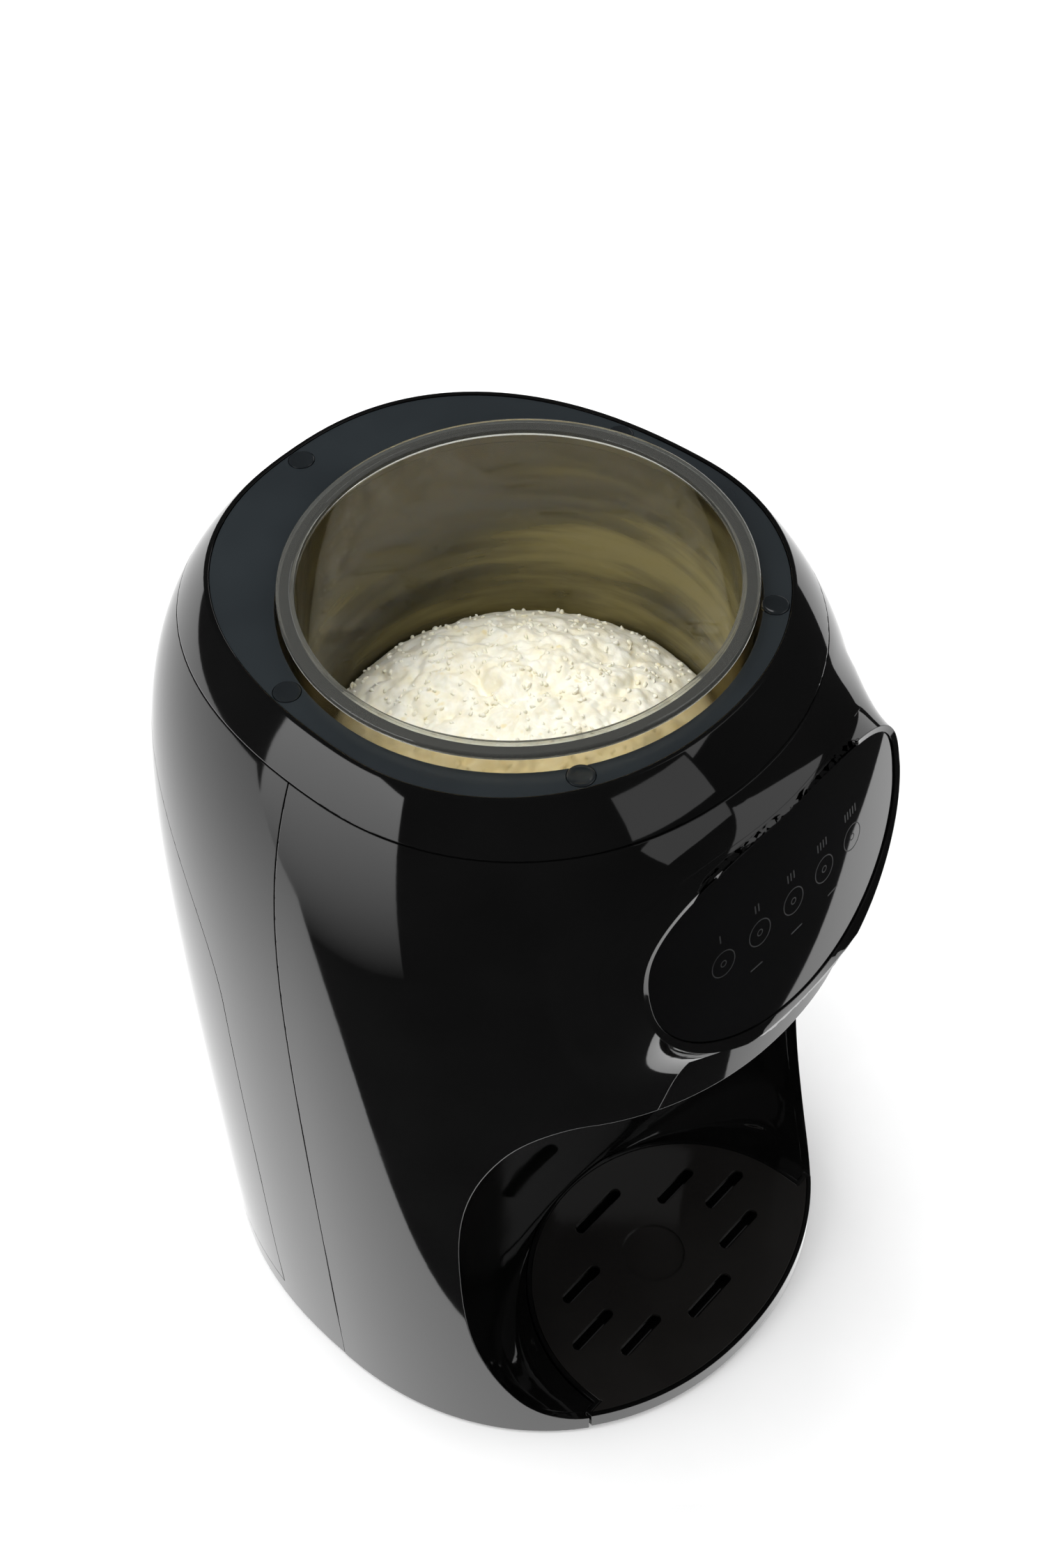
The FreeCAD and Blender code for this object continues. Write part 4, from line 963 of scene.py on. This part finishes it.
@dataclass
class Hopper:
    """Hopper tub, rim ring and the powder in it."""

    tub_r: float = 67.4
    wall: float = 2.8
    rim_r: float = 68.5
    rim_inner: float = 63.2
    powder_floor: float = 248.4
    powder_low: float = 252.5
    powder_rise: float = 17.0
    powder_gap: float = 0.5
    clots: tuple[tuple[float, float, float], ...] = ((13.0, 2.6, 0.4), (7.0, 2.0, 2.3), (3.4, 1.0, 4.6))
    crumb: float = 1.1
    crumbs_per_m2: float = 45000.0
    seed: int = 7
    rings: int = 95
    steps: int = 380

    def build(self) -> None:
        """Build the three pieces."""
        barrels = [Barrel(self.tub_r), Barrel(self.tub_r - self.wall)]
        tub = polish("hopper_tub", "hopper_tub_amber", barrels, 5.0)
        finish_piece(tub, Kit.AMBER, "hopper", "hopper_tub")
        finish_piece(self.rim(), Kit.RIM, "hopper", "hopper_rim")
        finish_piece(self.powder(), Kit.POWDER, "hopper", "powder_charge")

    def rim(self) -> bpy.types.Object:
        """Turn the rim ring, with a rounded lip and a fine step inside it."""
        a, b, z1, z0 = self.rim_r, self.rim_inner, RIM_Z, RIM_Z - RIM_T
        ring = [(b, z0), (a, z0), (a, z1 - 0.7), (a - 0.1, z1 - 0.35), (a - 0.35, z1 - 0.1), (a - 0.7, z1),
                (b + 1.5, z1), (b + 1.35, z1 - 0.12), (b + 1.1, z1 - 0.12), (b + 0.5, z1 - 0.12),
                (b + 0.15, z1 - 0.3), (b, z1 - 0.6), (b, z0)]
        verts, faces = lathe(ring, (0.0, HOPPER_Y), 240)
        made = new_piece("hopper_rim_clear", verts, faces)
        turn_outward(made.data, 0.001)
        return made

    def height(self, x: float, y: float, limit: float) -> float:
        """Height of the powder at a place, measured from the hopper's axis."""
        r = min(1.0, math.hypot(x, y) / limit)
        mound = (1.0 - r ** 2.0) ** 0.8
        lump = noise.fractal(Vector((x / 17.0, y / 17.0, 3.7)), 0.9, 2.1, 4)
        fine = noise.fractal(Vector((x / 2.4, y / 2.4, 5.2)), 0.8, 2.0, 3)
        clots, warp = 0.0, 0.25 * lump
        for size, tall, layer in self.clots:
            spot = Vector((x / size + warp, y / size - warp, layer))
            nearest = noise.voronoi(spot, distance_metric="DISTANCE")[0][0]
            clots += tall * math.sqrt(max(0.0, 1.0 - (nearest / 0.85) ** 2))
        ease = 1.0 - 0.75 * r ** 6
        return self.powder_low + self.powder_rise * mound + ease * (3.0 * lump + clots + 0.3 * fine)

    def powder(self) -> bpy.types.Object:
        """Heap with a broken, crumbly top, closed below, with loose crumbs on it."""
        limit = self.tub_r - self.wall - self.powder_gap
        steps, last = self.steps, 1 + (self.rings - 1) * self.steps
        verts = [(0.0, HOPPER_Y * MM, self.height(0.0, 0.0, limit) * MM)]
        for i in range(1, self.rings + 1):
            r = limit * i / self.rings
            for j in range(steps):
                a = 2 * math.pi * j / steps
                x, y = r * math.cos(a), r * math.sin(a)
                verts.append((x * MM, (y + HOPPER_Y) * MM, self.height(x, y, limit) * MM))
        foot = len(verts)
        verts += [(x, y, self.powder_floor * MM) for x, y, _ in verts[last:]]
        verts.append((0.0, HOPPER_Y * MM, self.powder_floor * MM))
        sides = [(j, (j + 1) % steps) for j in range(steps)]
        faces = [(0, 1 + j, 1 + k) for j, k in sides]
        for a, b in [(a, a + steps) for a in range(1, last, steps)] + [(last, foot)]:
            faces += [(a + j, b + j, b + k, a + k) for j, k in sides]
        faces += [(foot + k, foot + j, foot + steps) for j, k in sides]
        heap = new_piece("powder_heap_base", verts, faces)
        chosen = heap.data.attributes.new("top", "FLOAT", "POINT")
        inside = [1.0 if i < last - 2 * steps else 0.0 for i in range(len(verts))]
        chosen.data.foreach_set("value", inside)
        return self.crumbs(heap)

    def crumbs(self, heap: bpy.types.Object) -> bpy.types.Object:
        """Scatter small clumps over the top of the heap."""
        maker = GeometryTree("Crumbs on powder")
        size = maker.entry("Crumb Size", "NodeSocketFloat")
        density = maker.entry("Crumbs per Square Metre", "NodeSocketFloat")
        seed = maker.entry("Seed", "NodeSocketInt")
        tree = maker.tree
        top = add_node(tree, "GeometryNodeInputNamedAttribute", {"Name": "top"}, data_type="FLOAT")
        points = add_node(tree, "GeometryNodeDistributePointsOnFaces", {
            "Mesh": maker.start.outputs[0], "Density": maths(tree, "MULTIPLY", density, top.outputs[0]),
            "Seed": seed})
        ball = add_node(tree, "GeometryNodeMeshIcoSphere", {"Radius": size, "Subdivisions": 2})
        soft = add_node(tree, "GeometryNodeSetShadeSmooth", {0: ball.outputs[0]})
        wide, turn = (
            add_node(tree, "FunctionNodeRandomValue", {0: low, 1: high, "Seed": seed},
                     data_type="FLOAT_VECTOR")
            for low, high in (((0.35, 0.35, 0.3), (1.2, 1.1, 0.8)), ((0.0, 0.0, 0.0), (6.28, 6.28, 6.28))))
        placed = add_node(tree, "GeometryNodeInstanceOnPoints", {
            "Points": points.outputs[0], "Instance": soft.outputs[0], "Scale": wide.outputs[0],
            "Rotation": turn.outputs[0]})
        real = add_node(tree, "GeometryNodeRealizeInstances", {0: placed.outputs[0]})
        where = add_node(tree, "GeometryNodeInputPosition")
        rough = add_node(tree, "ShaderNodeTexNoise", {"Vector": where.outputs[0], "Scale": 1.0 / (1.6 * MM),
                                                      "Detail": 2.0})
        centred = maths(tree, "SUBTRACT", rough.outputs["Color"], (0.5, 0.5, 0.5), kind="VectorMath")
        shift = add_node(tree, "ShaderNodeVectorMath", {0: centred, "Scale": size}, operation="SCALE")
        broken = add_node(tree, "GeometryNodeSetPosition", {
            "Geometry": real.outputs[0], "Offset": shift.outputs[0]})
        joined = add_node(tree, "GeometryNodeJoinGeometry", {0: broken.outputs[0]})
        tree.links.new(maker.start.outputs[0], joined.inputs[0])
        maker.end(joined.outputs[0], Kit.POWDER)
        values = {"Crumb Size": self.crumb * MM, "Crumbs per Square Metre": self.crumbs_per_m2,
                  "Seed": self.seed}
        return maker.run(heap, values, "powder_heap")


@dataclass
class TouchPanel:
    """Bent touch glass with faint printed marks."""

    place: PanelPlace = PanelPlace()
    ring_r: float = 4.6
    line: float = 0.35
    pitch: float = 15.0
    keys: int = 5

    def build(self) -> None:
        """Polish the glass and print the marks on it."""
        glass = polish("touch_panel", "touch_panel_glass", [GlassForm(self.place)], 4.0)
        finish_piece(glass, Kit.GLASS, "housing", "touch_panel")
        finish_piece(self.marks(), Kit.MARK, "housing")

    def flat_ring(self, u: float, v: float, r: float, steps: int = 40) -> tuple[list, list]:
        """Closed ring of ink: outer and inner circle, top and bottom."""
        spots = []
        for radius, lift in ((r, 0.0), (r, 0.03), (r - self.line, 0.03), (r - self.line, 0.0)):
            for i in range(steps):
                a = 2 * math.pi * i / steps
                spots.append((u + radius * math.cos(a), v + radius * math.sin(a), lift))
        faces = []
        for ring in range(4):
            a, b = ring * steps, (ring + 1) % 4 * steps
            faces += [(a + i, a + (i + 1) % steps, b + (i + 1) % steps, b + i) for i in range(steps)]
        return spots, faces

    def bar(self, u: float, v: float, w: float, h: float) -> tuple[list, list]:
        """Closed bar of ink."""
        spots = [(u + i * w / 2, v + j * h / 2, k * 0.03) for k in (0, 1) for j in (-1, 1) for i in (-1, 1)]
        faces = [(0, 2, 3, 1), (4, 5, 7, 6), (0, 1, 5, 4), (2, 6, 7, 3), (0, 4, 6, 2), (1, 3, 7, 5)]
        return spots, faces

    def marks(self) -> bpy.types.Object:
        """Row of key rings, with a plain tally above each and a dot in each."""
        shapes = []
        for i in range(self.keys):
            u = (i - (self.keys - 1) / 2) * self.pitch
            shapes.append(self.flat_ring(u, -6.0, self.ring_r))
            shapes.append(self.flat_ring(u, -6.0, 1.2, 20))
            shapes += [self.bar(u + 1.4 * (j - i / 2), 3.6, 0.5, 3.0) for j in range(i + 1)]
        shapes += [self.bar(u, -17.5, 5.0, 0.5) for u in (-18.0, 0.0, 18.0)]
        verts, faces = [], []
        for spots, sides in shapes:
            faces += [tuple(len(verts) + c for c in side) for side in sides]
            verts += spots
        local = np.array(verts)
        depth = np.array([self.place.sunk(u) for u in local[:, 0]]) - 0.005 - local[:, 2]
        world = self.place.world(np.stack([local[:, 0], local[:, 1], depth], axis=1)) * MM
        made = new_piece("touch_panel_marks", world.tolist(), faces)
        turn_outward(made.data)
        return made


@dataclass
class DripParts:
    """Drip tray and its grille."""

    def build(self) -> None:
        """Dress both."""
        for node, kit, body in (("drip_tray", Kit.SHELL, "tray"), ("drip_grille", Kit.GRILLE, "grille")):
            made = polish(node, node + "_gloss", [])
            finish_piece(made, kit, body, node)


@dataclass
class Works:
    """Pieces that stay as their CAD nodes, in their own finish."""

    table: dict[Kit, tuple[str, ...]] = field(default_factory=lambda: {
        Kit.INNER: ("hopper_seat", "powder_chute", "nozzle_block", "funnel_drawer", "base_plate",
                    "tank_bulkhead", "tank_socket", "tank_valve", "tank_lid", "power_inlet", "water_pump"),
        Kit.ACETAL: ("dosing_wheel", "drive_gear", "motor_pinion", "mixing_funnel"),
        Kit.STEEL: ("drive_shaft", "gear_motor", "base_screws", "motor_bracket"),
        Kit.BRONZE: ("drive_bush",),
        Kit.CAST: ("heater",),
        Kit.SILICONE: ("supply_tube", "pump_tube", "outlet_tube"),
        Kit.RUBBER: ("rubber_feet",),
        Kit.BOARD: ("main_board", "panel_board"),
        Kit.TANK: ("tank_vessel",),
    })

    def build(self) -> None:
        """Dress each node."""
        for kit, names in self.table.items():
            for name in names:
                kit.put(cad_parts[name])
                LOG.info("%s: %s", name, kit.value.name)


@dataclass
class Studio:
    """Pale floor, white backdrop, soft lights and the camera."""

    lens: float = 50.0
    distance: float = 614.446
    azimuth: float = -46.347
    elevation: float = 48.812
    roll: float = -2.567
    offset: tuple[float, float] = (1.355, -59.214)
    target: tuple[float, float, float] = (0.0, -7.5, 330.83)
    gloss_sky: float = 0.03
    shoulder: float = 0.3

    def build(self) -> None:
        """Build everything around the machine."""
        self.floor()
        self.world()
        self.lights()
        self.camera()
        bpy.context.scene.view_settings.view_transform = "Standard"

    def floor(self) -> None:
        """Seamless white sweep: floor and a far wall."""
        size, back, r = 6.0, 2.4, 0.8
        rows = [(-size, 0.0), (back - r, 0.0)]
        rows += [(back - r + r * math.sin(a), r - r * math.cos(a)) for a in np.linspace(0.1, math.pi / 2, 12)]
        rows.append((back, size))
        turn = Matrix.Rotation(math.radians(self.azimuth), 3, "Z")
        verts = [turn @ Vector((x, y, z - 0.0002)) for y, z in rows for x in (-size, size)]
        faces = [(2 * i, 2 * i + 1, 2 * i + 3, 2 * i + 2) for i in range(len(rows) - 1)]
        made = new_piece("studio_sweep", verts, faces)
        paper = Moulded("Matt white sweep", "floor", "#F4F4F4", "#F7F7F7", (0.85, 0.95), 2.0, 0.01)
        made.data.materials.append(paper.material())
        made.visible_glossy = False

    def world(self) -> None:
        """White surroundings, and black ones for the gloss, as flags round a studio table give."""
        world = bpy.data.worlds.new("Studio")
        bpy.context.scene.world = world
        tree = blank_tree(world)
        path = add_node(tree, "ShaderNodeLightPath")
        white, dark = (
            add_node(tree, "ShaderNodeBackground", {"Color": srgb("#FFFFFF"), "Strength": strength})
            for strength in (1.0, self.gloss_sky))
        mix = add_node(tree, "ShaderNodeMixShader", {
            0: path.outputs["Is Glossy Ray"], 1: white.outputs[0], 2: dark.outputs[0]})
        add_node(tree, "ShaderNodeOutputWorld", {0: mix.outputs[0]})

    def soft_box(self, name: str, place: tuple[float, float, float], size: tuple[float, float],
                 power: float) -> None:
        """Hang one rectangular soft box that faces the machine.

        Args:
            name: Its name.
            place: Centre, in metres.
            size: Width and height.
            power: Watts.
        """
        data = bpy.data.lights.new(name, "AREA")
        data.shape = "RECTANGLE"
        data.size, data.size_y = size
        data.energy = power
        lamp = linked(name, data)
        lamp.location = place
        lamp.rotation_euler = (Vector((0.0, 0.0, 0.25)) - Vector(place)).to_track_quat("-Z", "Y").to_euler()
        lamp.visible_glossy = False

    def card(self, name: str, corners: list[tuple[float, float, float]], bright: float,
             fade: float = 1.0) -> None:
        """Hang a card that only reflections see, so that the gloss is shaped without moving a lamp.

        Args:
            name: Its name.
            corners: Corners in metres, the first two at its foot.
            bright: Strength of its light at the top.
            fade: Part of that left at its foot.
        """
        made = new_piece(name, corners, [tuple(range(len(corners)))])
        layer = made.data.color_attributes.new("glow", "FLOAT_COLOR", "POINT")
        for number, spot in enumerate(layer.data):
            value = fade if number < 2 else 1.0
            spot.color = (value, value, value, 1.0)
        material = bpy.data.materials.new(name + " diffuser")
        tree = blank_tree(material)
        glow = add_node(tree, "ShaderNodeVertexColor", layer_name="glow")
        light = add_node(tree, "ShaderNodeEmission", {0: glow.outputs[0], 1: bright})
        add_node(tree, "ShaderNodeOutputMaterial", {0: light.outputs[0]})
        made.data.materials.append(material)
        made.visible_camera = made.visible_diffuse = made.visible_shadow = False
        made.visible_transmission = made.visible_volume_scatter = False

    def standing(self, name: str, turn: tuple[float, float], rise: tuple[float, float], far: float,
                 bright: float, fade: float = 1.0) -> None:
        """Stand a card round the machine.

        Args:
            name: Its name.
            turn: Azimuths of its two sides, in degrees from the front.
            rise: Elevations of its foot and top, seen from the shoulder.
            far: Distance in metres.
            bright: Strength at the top.
            fade: Part of that left at its foot.
        """
        corners = []
        for az, el in zip((*turn, *reversed(turn)), (rise[0], rise[0], rise[1], rise[1])):
            a = math.radians(az)
            up = self.shoulder + far * math.tan(math.radians(el))
            corners.append((far * math.sin(a), -far * math.cos(a), up))
        self.card(name, corners, bright, fade)

    def lights(self) -> None:
        """Soft boxes for the light, and cards for the reflections."""
        self.soft_box("overhead", (-0.2, 0.3, 1.7), (1.4, 1.0), 14.0)
        self.soft_box("left", (-1.5, 0.2, 0.9), (0.7, 1.3), 8.0)
        self.soft_box("back", (0.3, 1.6, 1.0), (1.2, 0.8), 8.0)
        a = math.radians(self.azimuth)
        out, side = Vector((math.sin(a), -math.cos(a), 0.0)), Vector((math.cos(a), math.sin(a), 0.0))
        near, far, wide = 0.138, -1.3, 1.5
        table = [out * near - side * wide, out * near + side * 0.33, (0.30, -0.30, 0.0), (0.48, -0.22, 0.0),
                 (2.0, -0.1, 0.0), out * far + side * wide, out * far - side * wide]
        self.card("table", [tuple(p) for p in table], 1.25)
        self.standing("left card", (-90.0, -128.0), (-38.0, 13.0), 0.9, 2.8, 0.02)
        self.standing("front card", (-13.0, 17.0), (9.0, 27.0), 1.2, 0.85)
        self.standing("bay card", (18.0, 62.0), (24.0, 62.0), 1.1, 1.1)
        self.standing("right card", (84.0, 118.0), (-4.0, 22.0), 1.2, 1.4)

    def camera(self) -> None:
        """Camera that looks down over the hopper from the front left."""
        az, el, roll = (math.radians(a) for a in (self.azimuth, self.elevation, self.roll))
        back = Vector((math.sin(az) * math.cos(el), -math.cos(az) * math.cos(el), math.sin(el)))
        right = Vector((math.cos(az), math.sin(az), 0.0))
        up = back.cross(right)
        x_axis = right * math.cos(roll) + up * math.sin(roll)
        y_axis = -right * math.sin(roll) + up * math.cos(roll)
        place = Vector(self.target) + back * self.distance + x_axis * self.offset[0] + y_axis * self.offset[1]
        data = bpy.data.cameras.new("camera")
        data.sensor_fit = "VERTICAL"
        data.sensor_height, data.sensor_width = 36.0, 24.0
        data.lens = self.lens
        data.clip_start, data.clip_end = 0.01, 50.0
        view = linked("camera", data)
        turn = Matrix((x_axis, y_axis, back)).transposed().to_4x4()
        view.matrix_world = Matrix.Translation(place * MM) @ turn
        bpy.context.scene.camera = view


def main() -> None:
    """Build every sub-assembly in order, then the studio."""
    logging.basicConfig(level=logging.INFO, format="%(message)s")
    for part in (Body(), Deck(), Hopper(), TouchPanel(), DripParts(), Works(), Studio()):
        LOG.info("-- %s", type(part).__name__)
        part.build()


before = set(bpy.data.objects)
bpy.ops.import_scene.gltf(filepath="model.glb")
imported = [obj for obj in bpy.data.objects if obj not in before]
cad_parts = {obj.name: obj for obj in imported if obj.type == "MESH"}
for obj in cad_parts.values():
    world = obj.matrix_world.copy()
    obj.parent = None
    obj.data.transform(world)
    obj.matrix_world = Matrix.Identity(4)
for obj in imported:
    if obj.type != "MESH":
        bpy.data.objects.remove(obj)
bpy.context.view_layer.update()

if __name__ == "__main__":
    main()
